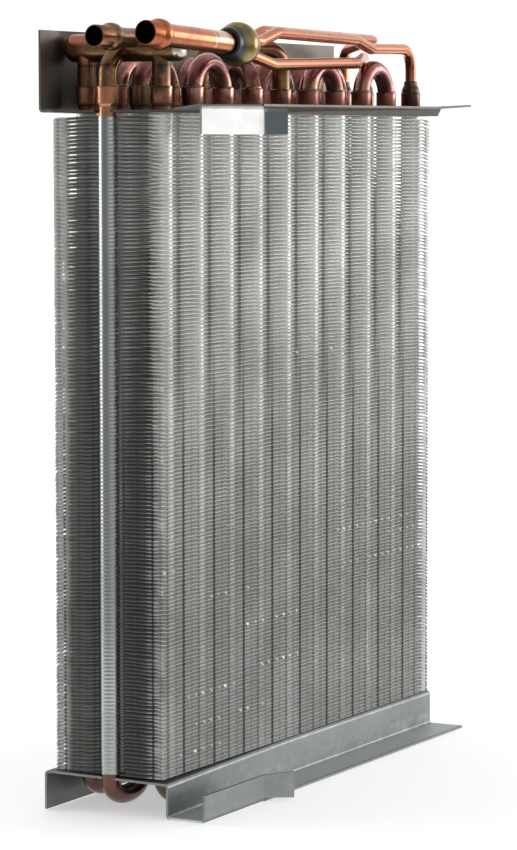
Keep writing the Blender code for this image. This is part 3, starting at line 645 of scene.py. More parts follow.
LIQUID_TINTS = (
    Tint((0.72, 0.66, 0.60), (29.0, None, 372.0), (39.0, None, None), soft=1.8, share=0.55),
    Tint((0.80, 0.76, 0.72), (25.6, None, None), (26.3, None, None), soft=0.3, share=0.7),
    Tint((0.46, 0.25, 0.22), (41.5, None, None), (56.0, None, None), soft=1.2, share=0.8),
    Tint((0.30, 0.14, 0.10), (290.0, None, None), (None, 20.0, 372.0), soft=4.0, share=0.7),
    Tint((0.42, 0.22, 0.22), (285.0, 20.0, None), (None, 42.0, None), soft=4.0, share=0.75),
)


class Finishes:
    """Every finish of the object, built once."""

    def __init__(self) -> None:
        """Build the finishes."""
        self.fins = FinFinish("fin_stock", shade_stripes=SHADE_STRIPES, tints=FIN_SHADE_AND_LIGHT).build()
        self.collars = FinFinish(
            "fin_collars", (0.74, 0.74, 0.73), (0.64, 0.64, 0.63), smooth=0.30, rough=0.42, metallic=0.50
        ).build()
        self.sleeve = FinFinish(
            "sleeve_collars",
            (0.53, 0.55, 0.56),
            (0.43, 0.45, 0.46),
            low_share=0.9,
            smooth=0.20,
            rough=0.30,
            metallic=1.0,
            glow=0.0,
        ).build()
        self.sheet = SheetFinish("zinc_sheet", tints=FLANGE_STAIN_SHADE_AND_SHEEN).build()
        self.bends = CopperFinish(
            "bend_copper",
            (0.52, 0.23, 0.19),
            (0.27, 0.085, 0.080),
            (0.30, 0.17, 0.09),
            oxide_share=0.55,
            stain_share=0.52,
            coat=0.6,
        ).build()
        self.bells = CopperFinish(
            "bell_copper",
            (0.78, 0.38, 0.26),
            (0.46, 0.18, 0.155),
            (0.36, 0.21, 0.11),
            stain_share=0.45,
            coat=0.6,
            tints=BELL_TINTS,
        ).build()
        self.stained = CopperFinish(
            "stained_copper",
            (0.37, 0.18, 0.085),
            (0.17, 0.09, 0.045),
            (0.24, 0.14, 0.06),
            joint_level=360.0,
            joint_reach=14.0,
            coat=0.2,
            tints=HEADER_STAINS_AND_HIGHLIGHT,
            mouth=(-31.0, 19.5, 373.4),
            bore=4.75,
        ).build()
        self.bright = CopperFinish(
            "bright_copper",
            (0.55, 0.180, 0.080),
            (0.37, 0.112, 0.050),
            (0.36, 0.15, 0.08),
            oxide_share=0.40,
            rough=0.28,
            tints=LIQUID_TINTS,
            mouth=(-35.0, -12.0, 374.7),
            bore=5.3,
        ).build()
        self.dark = CopperFinish(
            "dark_copper",
            (0.09, 0.05, 0.04),
            (0.04, 0.028, 0.025),
            (0.12, 0.07, 0.05),
            joint_level=353.0,
            coat=0.2,
        ).build()
        self.brass = BrassFinish("turned_brass").build()


# Mesh building


class MeshKit:
    """Makes finished pieces out of points and faces in the coil's frame."""

    @staticmethod
    def piece(
        name: str,
        verts: Union[Sequence[Point], np.ndarray],
        faces: Sequence[Face],
        material: bpy.types.Material,
        slot: Slot,
        sharp: float = 40.0,
        replaces: Sequence[str] = (),
    ) -> bpy.types.Object:
        """Link one piece and hide the model's nodes that it stands for.

        Args:
            name: the piece's name.
            verts: its points in millimetres.
            faces: its faces.
            material: its finish.
            slot: the record's slot for that finish; not used.
            sharp: edges over this many degrees stay sharp.
            replaces: the model's nodes that it stands for.

        Returns:
            The new object.
        """
        mesh = bpy.data.meshes.new(name)
        points = np.asarray(verts, dtype=float) * MM + np.array(ORIGIN)
        mesh.from_pydata(points.tolist(), [], faces)
        build = bmesh.new()
        build.from_mesh(mesh)
        bmesh.ops.recalc_face_normals(build, faces=build.faces)
        build.to_mesh(mesh)
        build.free()
        mesh.shade_smooth()
        mesh.set_sharp_from_angle(angle=math.radians(sharp))
        mesh.materials.append(material)
        item = bpy.data.objects.new(name, mesh)
        bpy.context.scene.collection.objects.link(item)
        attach(item, BODY)
        if replaces:
            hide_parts(*replaces)
        log.info("%s: %d faces", name, len(mesh.polygons))
        return item

    @staticmethod
    def pipe(
        node: str,
        ending: str,
        stations: Sequence[Station],
        sides: int,
        material: bpy.types.Material,
        slot: Slot,
    ) -> bpy.types.Object:
        """Sweep one round piece that stands for a node.

        Args:
            node: the model's node.
            ending: what the piece's name adds to the node's.
            stations: points and the ring's radius at each.
            sides: corners of the ring.
            material: its finish.
            slot: the record's slot for that finish.

        Returns:
            The new object.
        """
        verts, faces = MeshKit.sweep(stations, sides)
        return MeshKit.piece(f"{node}_{ending}", verts, faces, material, slot, replaces=(node,))

    @staticmethod
    def upright(
        x: float, y: float, outline: Sequence[tuple[float, float]], base: float = 0.0
    ) -> list[Station]:
        """Return the stations of a turned upright shape, from levels over a base and radii."""
        return [((x, y, base + level), size) for level, size in outline]

    @staticmethod
    def sweep(stations: Sequence[Station], sides: int) -> tuple[list[Vector], list[Face]]:
        """Sweep a ring through stations without twist and close both ends.

        Args:
            stations: points and the ring's radius at each.
            sides: corners of the ring.

        Returns:
            Points and faces.
        """
        points = [Vector(point) for point, _ in stations]
        tangents: list[Vector] = []
        for index, point in enumerate(points):
            ahead = next((other for other in points[index:] if (other - point).length > 1e-4), point)
            behind = next((other for other in points[index::-1] if (other - point).length > 1e-4), point)
            onward = (ahead - point).normalized()
            arrived = (point - behind).normalized()
            if tangents and onward.dot(tangents[-1]) < 0.0:
                onward.negate()
            if tangents and arrived.dot(tangents[-1]) < 0.0:
                arrived.negate()
            tangents.append((onward + arrived).normalized())
        side = Vector((0.0, 1.0, 0.0))
        if abs(tangents[0].dot(side)) > 0.9:
            side = Vector((0.0, 0.0, 1.0))
        verts: list[Vector] = []
        for index, (point, tangent) in enumerate(zip(points, tangents)):
            if index:
                side = tangents[index - 1].rotation_difference(tangent) @ side
            side = (side - tangent * tangent.dot(side)).normalized()
            other = tangent.cross(side)
            radius = stations[index][1]
            for corner in range(sides):
                angle = 2.0 * math.pi * corner / sides
                verts.append(point + (side * math.cos(angle) + other * math.sin(angle)) * radius)
        faces: list[Face] = []
        for ring in range(len(points) - 1):
            low, high = ring * sides, (ring + 1) * sides
            for corner in range(sides):
                following = (corner + 1) % sides
                faces.append((low + corner, low + following, high + following, high + corner))
        faces.append(tuple(range(sides - 1, -1, -1)))
        last = (len(points) - 1) * sides
        faces.append(tuple(range(last, last + sides)))
        return verts, faces

    @staticmethod
    def join(parts: Sequence[tuple[Sequence[Point], Sequence[Face]]]) -> tuple[list[Point], list[Face]]:
        """Put several sets of points and faces together.

        Args:
            parts: the sets.

        Returns:
            Points and faces.
        """
        verts: list[Point] = []
        faces: list[Face] = []
        for part_verts, part_faces in parts:
            base = len(verts)
            verts.extend(part_verts)
            faces.extend(tuple(base + corner for corner in face) for face in part_faces)
        return verts, faces

    @staticmethod
    def bend(points: Sequence[Point], radii: Sequence[float], steps: int = 10) -> list[Vector]:
        """Round the inner corners of a path.

        Args:
            points: the path's corners.
            radii: the radius at each inner corner.
            steps: pieces of each arc.

        Returns:
            The rounded path.
        """
        path = [Vector(points[0])]
        for before, corner, after, radius in zip(points, points[1:], points[2:], radii):
            middle = Vector(corner)
            back = (Vector(before) - middle).normalized()
            ahead = (Vector(after) - middle).normalized()
            half = 0.5 * back.angle(ahead)
            reach = radius / math.tan(half)
            centre = middle + (back + ahead).normalized() * (radius / math.sin(half))
            first = middle + back * reach - centre
            last = middle + ahead * reach - centre
            sweep = first.angle(last)
            for step in range(steps + 1):
                share = step / steps
                blend = first * math.sin((1.0 - share) * sweep) + last * math.sin(share * sweep)
                path.append(centre + blend / math.sin(sweep))
        path.append(Vector(points[-1]))
        return path


class LatticeNoise:
    """Smooth random values on a lattice, the same at every run."""

    def __init__(self, cell: Point, seed: int) -> None:
        """Keep the size of a cell in millimetres and the seed."""
        self.cell = np.array(cell, dtype=float)
        self.values = np.random.default_rng(seed).uniform(-1.0, 1.0, (64, 64, 256))

    def __call__(self, x: np.ndarray, y: np.ndarray, z: np.ndarray) -> np.ndarray:
        """Work out the noise at points.

        Args:
            x: the points' X.
            y: their Y.
            z: their Z.

        Returns:
            The noise at each, from -1 to 1.
        """
        result = 0.0
        places = [np.asarray(axis, dtype=float) / size + 8.0 for axis, size in zip((x, y, z), self.cell)]
        floors = [np.floor(place).astype(int) for place in places]
        shares = [place - floor for place, floor in zip(places, floors)]
        shares = [share * share * (3.0 - 2.0 * share) for share in shares]
        for corner in range(8):
            bits = (corner & 1, corner >> 1 & 1, corner >> 2 & 1)
            weight = 1.0
            index = []
            for bit, floor, share, span in zip(bits, floors, shares, self.values.shape):
                weight = weight * (share if bit else 1.0 - share)
                index.append((floor + bit) % span)
            result = result + weight * self.values[tuple(index)]
        return result


# Sub-assemblies


@dataclass
class TubeLayout:
    """Where the thirty tubes stand, and the levels that the rest follows."""

    pitch: float = 31.75
    row_pitch: float = 22.0
    rows: int = 3
    per_row: int = 10
    first_outer: float = 17.5
    first_middle: float = 1.6
    front_y: float = 9.75
    radius: float = 4.76
    bell_radius: float = 5.6
    bell_start: float = 339.2
    bell_full: float = 341.0
    rim: float = 349.6
    leg_foot: float = -4.0
    drop: float = 9.0

    def x(self, row: int, index: int) -> float:
        """Return the X of one tube."""
        return (self.first_middle if row == 1 else self.first_outer) + self.pitch * index

    def y(self, row: int) -> float:
        """Return the Y of one row."""
        return self.front_y + self.row_pitch * row


@dataclass
class FinStack:
    """The plate fins with their waved surface, bent edges and collars.

    `bent` lists the scraped runs of the front edge: their level, start and end.
    """

    layout: TubeLayout
    finishes: Finishes
    width: float = 309.0
    depth: float = 63.5
    height: float = 336.0
    count: int = 173
    thickness: float = 0.12
    waves: int = 4
    wave: float = 0.46
    slot_half: float = 6.0
    slot_depth: float = 7.7
    collar_radius: float = 5.6
    sleeve_radius: float = 5.1
    sleeve_top: float = 334.2
    sleeve_neck: float = 4.8
    flare: float = 0.22
    edge: float = 0.8
    bay_column: float = 3.6
    front_rows: tuple[float, ...] = (0.0, 1.8, 4.0, 6.5, 9.5, 13.0, 17.0, 21.0)
    back_rows: tuple[float, ...] = (44.0, 50.0, 55.0, 59.5)
    sway_height: float = 0.25
    nick_near: float = 0.30
    nick_side: float = 0.22
    crumple_height: float = 1.1
    flap_drop: float = 1.3
    flap_ends: tuple[float, float] = (19.0, 13.0)
    sag_drop: float = 0.45
    sag_ends: tuple[float, float] = (55.0, 35.0)
    end_drop: float = 0.8
    end_front: tuple[float, float] = (36.0, 41.0)
    end_back: tuple[float, float] = (58.0, 55.0)
    far_drop: float = 1.1
    far_ends: tuple[float, float] = (299.0, 303.0)
    skipped_folds: float = 0.25
    fold_half: tuple[float, float] = (0.5, 1.3)
    fold_drop: tuple[float, float] = (0.5, 1.0)
    fold_reach: tuple[float, float] = (0.5, 1.3)
    fold_root: float = 0.3
    fold_rise: float = 0.2
    fold_thickness: float = 0.25
    bent: tuple[tuple[float, float, float], ...] = (
        (69.3, 86.0, 150.0),
        (44.6, 90.0, 146.0),
        (38.2, 24.0, 92.0),
        (104.6, -1.0, 12.0),
        (108.0, 190.0, 300.0),
        (87.9, 200.0, 300.0),
        (88.6, 48.0, 96.0),
        (22.5, 30.0, 110.0),
        (208.4, 130.0, 190.0),
        (100.6, 250.0, 309.0),
        (9.8, 12.0, 60.0),
    )
    seed: int = 7

    def __post_init__(self) -> None:
        """Prepare the noises of the bent edges."""
        self.pitch = self.height / (self.count - 1)
        self.sway = LatticeNoise((60.0, 30.0, 26.0), self.seed)
        self.crumple = LatticeNoise((5.0, 4.0, 5.0), self.seed + 1)
        self.nick = LatticeNoise((4.0, 9.0, 3.2), self.seed + 2)
        self.uneven = np.random.default_rng(self.seed + 3).uniform(-0.16, 0.16, self.count)

    def ripple(self, x: np.ndarray) -> np.ndarray:
        """Return the height of the fin's wave at X."""
        phase = (x - self.layout.first_outer) / self.layout.pitch * self.waves
        return self.wave * (4.0 * np.abs(phase - np.floor(phase) - 0.5) - 1.0)

    @staticmethod
    def ramp(value: np.ndarray, start: float, end: float) -> np.ndarray:
        """Return a straight change from 0 at start to 1 at end, level beyond both."""
        return np.clip((value - start) / (end - start), 0.0, 1.0)

    @staticmethod
    def fade(distance: np.ndarray, reach: float) -> np.ndarray:
        """Return a fall from 1 that is e times smaller after each reach."""
        return np.exp(-distance / reach)

    def hang(self, x: np.ndarray, y: np.ndarray, level: np.ndarray) -> np.ndarray:
        """Work out how far the knocked edges of the fins hang down.

        Args:
            x: the points' X.
            y: their Y.
            level: their fin's level.

        Returns:
            The drop at each point.
        """
        inward = self.depth - y
        flap = self.flap_drop * self.ramp(inward, self.edge, 0.0) * self.ramp(x, *self.flap_ends)
        sag = self.sag_drop * self.fade(inward, 4.0) * self.ramp(x, *self.sag_ends)
        end = self.end_drop * self.fade(x, 2.0) * self.ramp(y, *self.end_front) * self.ramp(y, *self.end_back)
        far = self.far_drop * self.ramp(x, *self.far_ends) * self.ramp(y, self.front_rows[1], 0.0)
        return (flap + sag + end + far) * (1.6 + 0.4 * self.crumple(x, y, level))

    def folds(self, index: int) -> list[tuple[np.ndarray, list[Face]]]:
        """Fold over little bits of edge where something scraped along one fin.

        Args:
            index: the fin's number from below.

        Returns:
            Points and faces of each bit.
        """
        z = index * self.pitch
        crest_pitch = self.layout.pitch / self.waves
        dice = np.random.default_rng(self.seed + index)
        parts = []
        for level, start, end in self.bent:
            if abs(z - level) >= 0.5 * self.pitch:
                continue
            first = math.ceil((start - self.layout.first_outer) / crest_pitch)
            last = math.floor((end - self.layout.first_outer) / crest_pitch)
            for step in range(first, last + 1):
                if dice.uniform() < self.skipped_folds:
                    continue
                x = self.layout.first_outer + step * crest_pitch + dice.uniform(-0.6, 0.6)
                half, drop = dice.uniform(*self.fold_half), dice.uniform(*self.fold_drop)
                reach, root = dice.uniform(*self.fold_reach), self.fold_root
                grid_x, grid_y = np.meshgrid([x - half, x + half], [root - reach, root], indexing="ij")
                height = z + self.fold_rise - drop * (root - grid_y) / reach
                top = np.stack([grid_x, grid_y, height], axis=-1).reshape(-1, 3)
                bottom = top - np.array([0.0, 0.0, self.fold_thickness])
                parts.append((np.concatenate([top, bottom]), self.slab_faces(2, 2)))
        return parts

    def lift(self, x: np.ndarray, y: np.ndarray, index: int) -> np.ndarray:
        """Work out how far one fin's surface departs from its level.

        Args:
            x: the points' X.
            y: their Y.
            index: the fin's number from below.

        Returns:
            The rise at each point.
        """
        z = index * self.pitch
        level = np.full_like(x, z)
        inward = self.depth - y
        near = self.fade(x, 4.0)
        sides = self.fade(y, 3.0) + self.fade(inward, 3.0)
        corners = near * self.fade(y, 9.0) + 0.8 * near * self.fade(inward, 7.0)
        rise = (1.0 - 0.7 * self.fade(y, 1.0)) * self.ripple(x)
        rise = rise + self.sway_height * self.sway(x, y, level) + self.uneven[index]
        rise = rise + (self.nick_near * near + self.nick_side * sides) * self.nick(x, y, level)
        rise = rise + self.crumple_height * corners * self.crumple(x, y, level)
        rise = rise - self.hang(x, y, level)
        limit = min(z, self.height - z)
        return np.clip(rise, -limit, limit) if limit < 1.2 else rise

    def slab(self, xs: np.ndarray, ys: np.ndarray, index: int) -> tuple[np.ndarray, list[Face]]:
        """Return one closed patch of a fin.

        Args:
            xs: the patch's columns.
            ys: its rows.
            index: the fin's number from below.

        Returns:
            Points and faces.
        """
        grid_x, grid_y = np.meshgrid(xs, ys, indexing="ij")
        level = index * self.pitch + self.lift(grid_x, grid_y, index)
        half = 0.5 * self.thickness
        top = np.stack([grid_x, grid_y, level + half], axis=-1).reshape(-1, 3)
        bottom = np.stack([grid_x, grid_y, level - half], axis=-1).reshape(-1, 3)
        return np.concatenate([top, bottom]), self.slab_faces(len(xs), len(ys))

    @staticmethod
    def slab_faces(across: int, along: int) -> list[Face]:
        """List the faces of a closed patch.

        Args:
            across: its points along X.
            along: its points along Y.

        Returns:
            The faces, for the points above and then those below.
        """
        under = across * along
        faces: list[Face] = []
        for i in range(across - 1):
            for j in range(along - 1):
                a, b = i * along + j, (i + 1) * along + j
                faces.append((a, b, b + 1, a + 1))
                faces.append((under + a, under + a + 1, under + b + 1, under + b))
        for i in range(across - 1):
            for j in (0, along - 1):
                a, b = i * along + j, (i + 1) * along + j
                faces.append((a, b, under + b, under + a))
        for j in range(along - 1):
            for i in (0, across - 1):
                a = i * along + j
                faces.append((a, a + 1, under + a + 1, under + a))
        return faces

    def build_fins(self, name: str, first: int, last: int) -> None:
        """Build a run of fins as one piece.

        Args:
            name: the piece's name.
            first: the lowest fin.
            last: the fin after the highest.
        """
        half_wave = 0.5 * self.layout.pitch / self.waves
        slot_front, slot_back = self.layout.y(1) - self.slot_half, self.layout.y(1) + self.slot_half
        seam = self.layout.first_outer - 2.0 * half_wave
        far_columns = (self.width - self.edge, self.width)
        columns = np.append(np.arange(seam, self.width - 1.0, half_wave), far_columns)
        valley, crest = seam - 2.0 * half_wave, seam - half_wave
        near_columns = np.array([0.0, valley, self.bay_column, crest, self.slot_depth, seam])
        edge_rows = (self.depth - self.edge, self.depth)
        patches = (
            (columns, np.array([*self.front_rows[:2], self.back_rows[-1], *edge_rows])),
            (near_columns, np.array([*self.front_rows, slot_front])),
            (near_columns, np.array([slot_back, *self.back_rows, *edge_rows])),
            (np.array([self.slot_depth, seam]), np.array([slot_front, slot_back])),
        )
        parts = []
        for index in range(first, last):
            parts.extend(self.slab(xs, ys, index) for xs, ys in patches)
            parts.extend(self.folds(index))
        verts, faces = MeshKit.join(parts)
        MeshKit.piece(name, verts, faces, self.finishes.fins, Slot.FINS, sharp=35.0, replaces=("fin_pack",))

    def build_collars(self) -> None:
        """Build the plain collars around the tubes inside the fins."""
        outline = [(0.4, self.collar_radius), (self.height - 0.4, self.collar_radius)]
        parts = []
        for row in range(self.layout.rows):
            for index in range(self.layout.per_row):
                if (row, index) != (1, 0):
                    stations = MeshKit.upright(self.layout.x(row, index), self.layout.y(row), outline)
                    parts.append(MeshKit.sweep(stations, 20))
        verts, faces = MeshKit.join(parts)
        MeshKit.piece("inner_fin_collars", verts, faces, self.finishes.collars, Slot.FINS)

    def build_sleeve(self) -> None:
        """Build the stack of flared collars around the tube in the open."""
        radius = self.sleeve_radius
        outline = [(0.2, self.sleeve_neck)]
        for index in range(self.count - 2):
            low = 0.3 + index * self.pitch
            outline += [(low, radius + 0.03), (low + self.flare, radius - 0.01)]
            outline.append((low + self.pitch - 0.2, radius))
        outline.append((self.sleeve_top, self.sleeve_neck))
        verts, faces = MeshKit.sweep(MeshKit.upright(self.layout.x(1, 0), self.layout.y(1), outline), 24)
        material = self.finishes.sleeve
        MeshKit.piece("open_collar_sleeve", verts, faces, material, Slot.FINS, replaces=("exposed_collars",))

    def build(self) -> None:
        """Build the whole stack."""
        half = self.count // 2
        self.build_fins("fin_stack_lower", 0, half)
        self.build_fins("fin_stack_upper", half, self.count)
        self.build_collars()
        self.build_sleeve()
        log.info("fins: %d plates, collars and sleeve", self.count)


@dataclass
class Circuit:
    """The hairpin tubes, return bends and crossovers.

    `braze` gives a bend's ring of solder, as rises over the bell's rim and extra radii.
    """

    layout: TubeLayout
    finishes: Finishes
    sides: int = 28
    sink: float = 3.0
    crossover_top: float = 371.0
    crossover_round: float = 10.0
    crossover_depth: float = 2.0
    crossover_tube: int = 3
    turn_steps: int = 24
    bend_steps: int = 26
    braze: tuple[tuple[float, float], ...] = ((-0.1, 0.34), (0.25, 0.26), (0.6, 0.10), (1.1, 0.0))

    def bell(self, x: float, y: float) -> list[Station]:
        """Outline a belled end, from inside its mouth down to the tube.

        Args:
            x: the tube's X.
            y: its Y.

        Returns:
            The stations.
        """
        rim, bell, tube = self.layout.rim, self.layout.bell_radius, self.layout.radius
        full, start = self.layout.bell_full, self.layout.bell_start
        mouth = [(rim - 2.2, tube + 0.15), (rim - 0.35, tube + 0.18), (rim - 0.05, tube + 0.40)]
        lip = [(rim, bell - 0.12), (rim - 0.22, bell + 0.14), (rim - 0.75, bell + 0.12), (rim - 1.5, bell)]
        neck = [(full, bell), (full - 0.7, bell - 0.22), (start + 0.3, tube + 0.12), (start - 0.4, tube)]
        return MeshKit.upright(x, y, mouth + lip + neck)

    def build_hairpin(self, row: int, pair: int) -> None:
        """Build one hairpin tube with its two belled ends.

        Args:
            row: its row, from the front.
            pair: its number in the row.
        """
        layout = self.layout
        left, right, y = layout.x(row, 2 * pair), layout.x(row, 2 * pair + 1), layout.y(row)
        span = 0.5 * layout.pitch
        stations = self.bell(left, y)
        for step in range(self.turn_steps + 1):
            angle = math.pi + math.pi * step / self.turn_steps
            place = (left + span + span * math.cos(angle), y, layout.leg_foot + layout.drop * math.sin(angle))
            stations.append((place, layout.radius))
        stations += reversed(self.bell(right, y))
        node = f"hairpin_row{row + 1}_{pair + 1}"
        MeshKit.pipe(node, "tube", stations, self.sides, self.finishes.bells, Slot.DULL)

    def build_bend(self, node: str, start: Vector, end: Vector) -> None:
        """Build one half-round return bend between two bells.

        Args:
            node: the node that it stands for.
            start: the first bell's centre at its rim.
            end: the second bell's centre at its rim.
        """
        across = end - start
        radius = 0.5 * across.length
        across.normalize()
        centre = 0.5 * (start + end) - Vector((0.0, 0.0, self.sink))
        ends = [(0.0, 0.0)] + [(math.asin((self.sink + rise) / radius), extra) for rise, extra in self.braze]
        start_angle = ends[-1][0]
        turn = (math.pi - 2.0 * start_angle) / self.bend_steps
        turns = ends + [(start_angle + turn * step, 0.0) for step in range(1, self.bend_steps)]
        turns += [(math.pi - angle, extra) for angle, extra in reversed(ends)]
        stations = []
        for angle, extra in turns:
            rise = Vector((0.0, 0.0, radius * math.sin(angle)))
            stations.append((centre - across * (radius * math.cos(angle)) + rise, self.layout.radius + extra))
        MeshKit.pipe(node, "pipe", stations, self.sides, self.finishes.bends, Slot.DULL)

    def build_crossover(self) -> None:
        """Build the tall bend that passes over the low crossover."""
        before, after = self.crossover_tube, self.crossover_tube + 1
        rim = self.layout.rim
        start = Vector((self.layout.x(1, before), self.layout.y(1), rim - self.crossover_depth))
        end = Vector((self.layout.x(0, after), self.layout.y(0), rim - self.crossover_depth))
        corners = [start, (start.x, start.y, self.crossover_top), (end.x, end.y, self.crossover_top), end]
        path = MeshKit.bend(corners, (self.crossover_round, self.crossover_round))
        stations = [(point, self.layout.radius) for point in path]
        MeshKit.pipe("crossover_bend_high", "pipe", stations, self.sides, self.finishes.stained, Slot.STAINED)

    def build(self) -> None:
        """Build every tube of the circuit."""
        layout = self.layout
        for row in range(layout.rows):
            for pair in range(layout.per_row // 2):
                self.build_hairpin(row, pair)
            for first in range(1, layout.per_row - 1, 2):
                if first == self.crossover_tube and row != layout.rows - 1:
                    continue
                start = Vector((layout.x(row, first), layout.y(row), layout.rim))
                end = Vector((layout.x(row, first + 1), layout.y(row), layout.rim))
                self.build_bend(f"return_bend_row{row + 1}_{(first + 1) // 2}", start, end)
        before, after = self.crossover_tube, self.crossover_tube + 1
        start = Vector((layout.x(0, before), layout.y(0), layout.rim))
        end = Vector((layout.x(1, after), layout.y(1), layout.rim))
        self.build_bend("crossover_bend_low", start, end)
        self.build_crossover()
        log.info("circuit: %d hairpins and their bends", layout.rows * layout.per_row // 2)


@dataclass
class Pipework:
    """The header, connections, distributor and feeders over the top."""

    layout: TubeLayout
    finishes: Finishes
    header_radius: float = 7.15
    header_level: float = 369.0
    header_front: float = -4.0
    header_back: float = 64.6
    suction_y: float = 19.5
    suction_level: float = 373.4
    suction_mouth: float = -31.0
    liquid_y: float = -12.0
    liquid_level: float = 374.4
    liquid_mouth: float = -35.0
    liquid_drop: float = math.radians(2.1)
    liquid_length: float = 84.0
    distributor_sink: float = 3.0
    distributor_length: float = 20.0
    port_circle: float = 4.9
    port_depth: float = 0.5
    port_run: float = 7.3
    knee_run: float = 31.0
    feeder_radius: float = 3.1
    feeder_foot: float = 5.0
    feeder_rounds: tuple[float, float, float, float] = (16.0, 30.0, 22.0, 12.0)
    stub_depth: float = 2.0
    stub_knee: float = 8.8
    stub_run: float = 9.0
    stub_drop: float = 2.1
    stub_round: float = 7.0

    def liquid_point(self, along: float, across: float = 0.0, up: float = 0.0) -> Vector:
        """Return a point along the liquid tube's axis and square to it."""
        mouth = Vector((self.liquid_mouth, self.liquid_y, self.liquid_level))
        return mouth + Matrix.Rotation(self.liquid_drop, 3, "Y") @ Vector((along, across, up))

    def build_header(self) -> None:
        """Build the header's barrel with its spun ends."""
        x, z, radius = self.layout.first_outer, self.header_level, self.header_radius
        profile = [(0.0, 1.6), (0.25, 3.6), (0.9, 5.3), (1.9, 6.5), (3.2, 7.05), (4.8, radius)]
        stations = [((x, self.header_front + inset, z), size) for inset, size in profile]
        stations += [((x, self.header_back - inset, z), size) for inset, size in reversed(profile)]
        MeshKit.pipe("suction_header", "barrel", stations, 40, self.finishes.stained, Slot.STAINED)

    def build_branches(self) -> None:
        """Build the three stubs between the first tubes and the header."""
        layout, rim, tube = self.layout, self.layout.rim, self.layout.radius
        foot, top = rim - self.stub_depth, self.header_level - 0.55 * self.header_radius
        joint = [(foot, tube), (rim - 0.1, tube + 0.34), (rim + 0.6, tube + 0.12), (rim + 1.1, tube)]
        saddle = [(top - 4.0, tube), (top - 2.6, tube + 0.25), (top - 1.2, tube + 0.9)]
        saddle.append((top + 1.0, tube + 1.1))
        for name, row in (("header_branch_front", 0), ("header_branch_back", 2)):
            stations = MeshKit.upright(layout.x(row, 0), layout.y(row), joint + saddle)
            MeshKit.pipe(name, "stub", stations, 28, self.finishes.stained, Slot.STAINED)
        start = Vector((layout.x(1, 0), layout.y(1), foot))
        knee = (start.x, start.y, rim + self.stub_knee)
        end = (start.x + self.stub_run, start.y, self.header_level - self.stub_drop)
        path = MeshKit.bend([start, knee, end], (self.stub_round,))
        path.append(Vector((layout.x(0, 0) - 2.0, start.y, self.header_level)))
        stations = [(point, tube) for point in path]
        MeshKit.pipe("header_branch_middle", "stub", stations, 28, self.finishes.stained, Slot.BRIGHT)

    @staticmethod
    def socket(
        at: Callable[[float], Vector],
        depth: float,
        bore: float,
        bell: float,
        bell_length: float,
        bead: float,
        radius: float,
        length: float,
    ) -> list[Station]:
        """Return the stations of a belled tube with an open socket.

        Args:
            at: a function from a distance along the tube to a point.
            depth: the socket's depth.
            bore: its radius inside.
            bell: the bell's radius outside.
            bell_length: the bell's length to its bead.
            bead: the bead's radius.
            radius: the tube's radius beyond the bead.
            length: the tube's whole length.

        Returns:
            The stations, from the socket's floor out and along the outside.
        """
        wall = bell - bore
        inside = [(depth, bore * 0.3), (depth, bore - 0.4), (depth - 0.6, bore), (0.5 * wall, bore)]
        lip = [(0.0, bore + 0.25 * wall), (0.0, bell - 0.25 * wall), (0.3 * wall, bell), (bell_length, bell)]
        swell, ease = bead - bell, bead - radius
        bead_up = [(0.9, bell + 0.25 * swell), (1.9, bell + 0.75 * swell), (2.8, bead - 0.08), (4.4, bead)]
        bead_down = [(6.0, bead - 0.10), (7.0, radius + 0.5 * ease), (8.0, radius + 0.05)]
        swelling = [(bell_length + along, size) for along, size in bead_up + bead_down]
        return [(at(along), size) for along, size in inside + lip + swelling + [(length, radius)]]

    def build_connections(self) -> None:
        """Build the suction and the liquid connection."""
        reach = self.layout.first_outer - 3.0 - self.suction_mouth

        def suction(along: float) -> Vector:
            """Return a point of the suction pipe's axis."""
            return Vector((self.suction_mouth + along, self.suction_y, self.suction_level))

        stations = self.socket(
            suction, depth=12.0, bore=4.75, bell=5.6, bell_length=11.4, bead=7.0, radius=4.9, length=reach
        )
        MeshKit.pipe("suction_connection", "pipe", stations, 36, self.finishes.stained, Slot.STAINED)
        at, reach = self.liquid_point, self.liquid_length
        stations = self.socket(
            at, depth=12.0, bore=5.3, bell=6.15, bell_length=8.9, bead=7.7, radius=5.8, length=reach
        )
        MeshKit.pipe("liquid_connection", "pipe", stations, 36, self.finishes.bright, Slot.BRIGHT)

    def build_distributor(self) -> None:
        """Build the turned distributor body."""
        neck = self.liquid_length - self.distributor_sink
        collar = [(1.0, 6.3), (-0.1, 6.5), (0.0, 7.5), (0.4, 7.9), (2.9, 7.9), (3.6, 8.1)]
        ball = [(7.6, 10.3), (8.4, 10.9), (9.6, 11.35), (11.2, 11.4), (12.8, 11.3), (14.2, 10.9), (17.4, 9.9)]
        nose = [(19.5, 8.9), (19.9, 8.5), (20.0, 7.9), (20.0, 2.0)]
        stations = [(self.liquid_point(neck + along), size) for along, size in collar + ball + nose]
        MeshKit.pipe("distributor", "body", stations, 40, self.finishes.brass, Slot.BRASS)

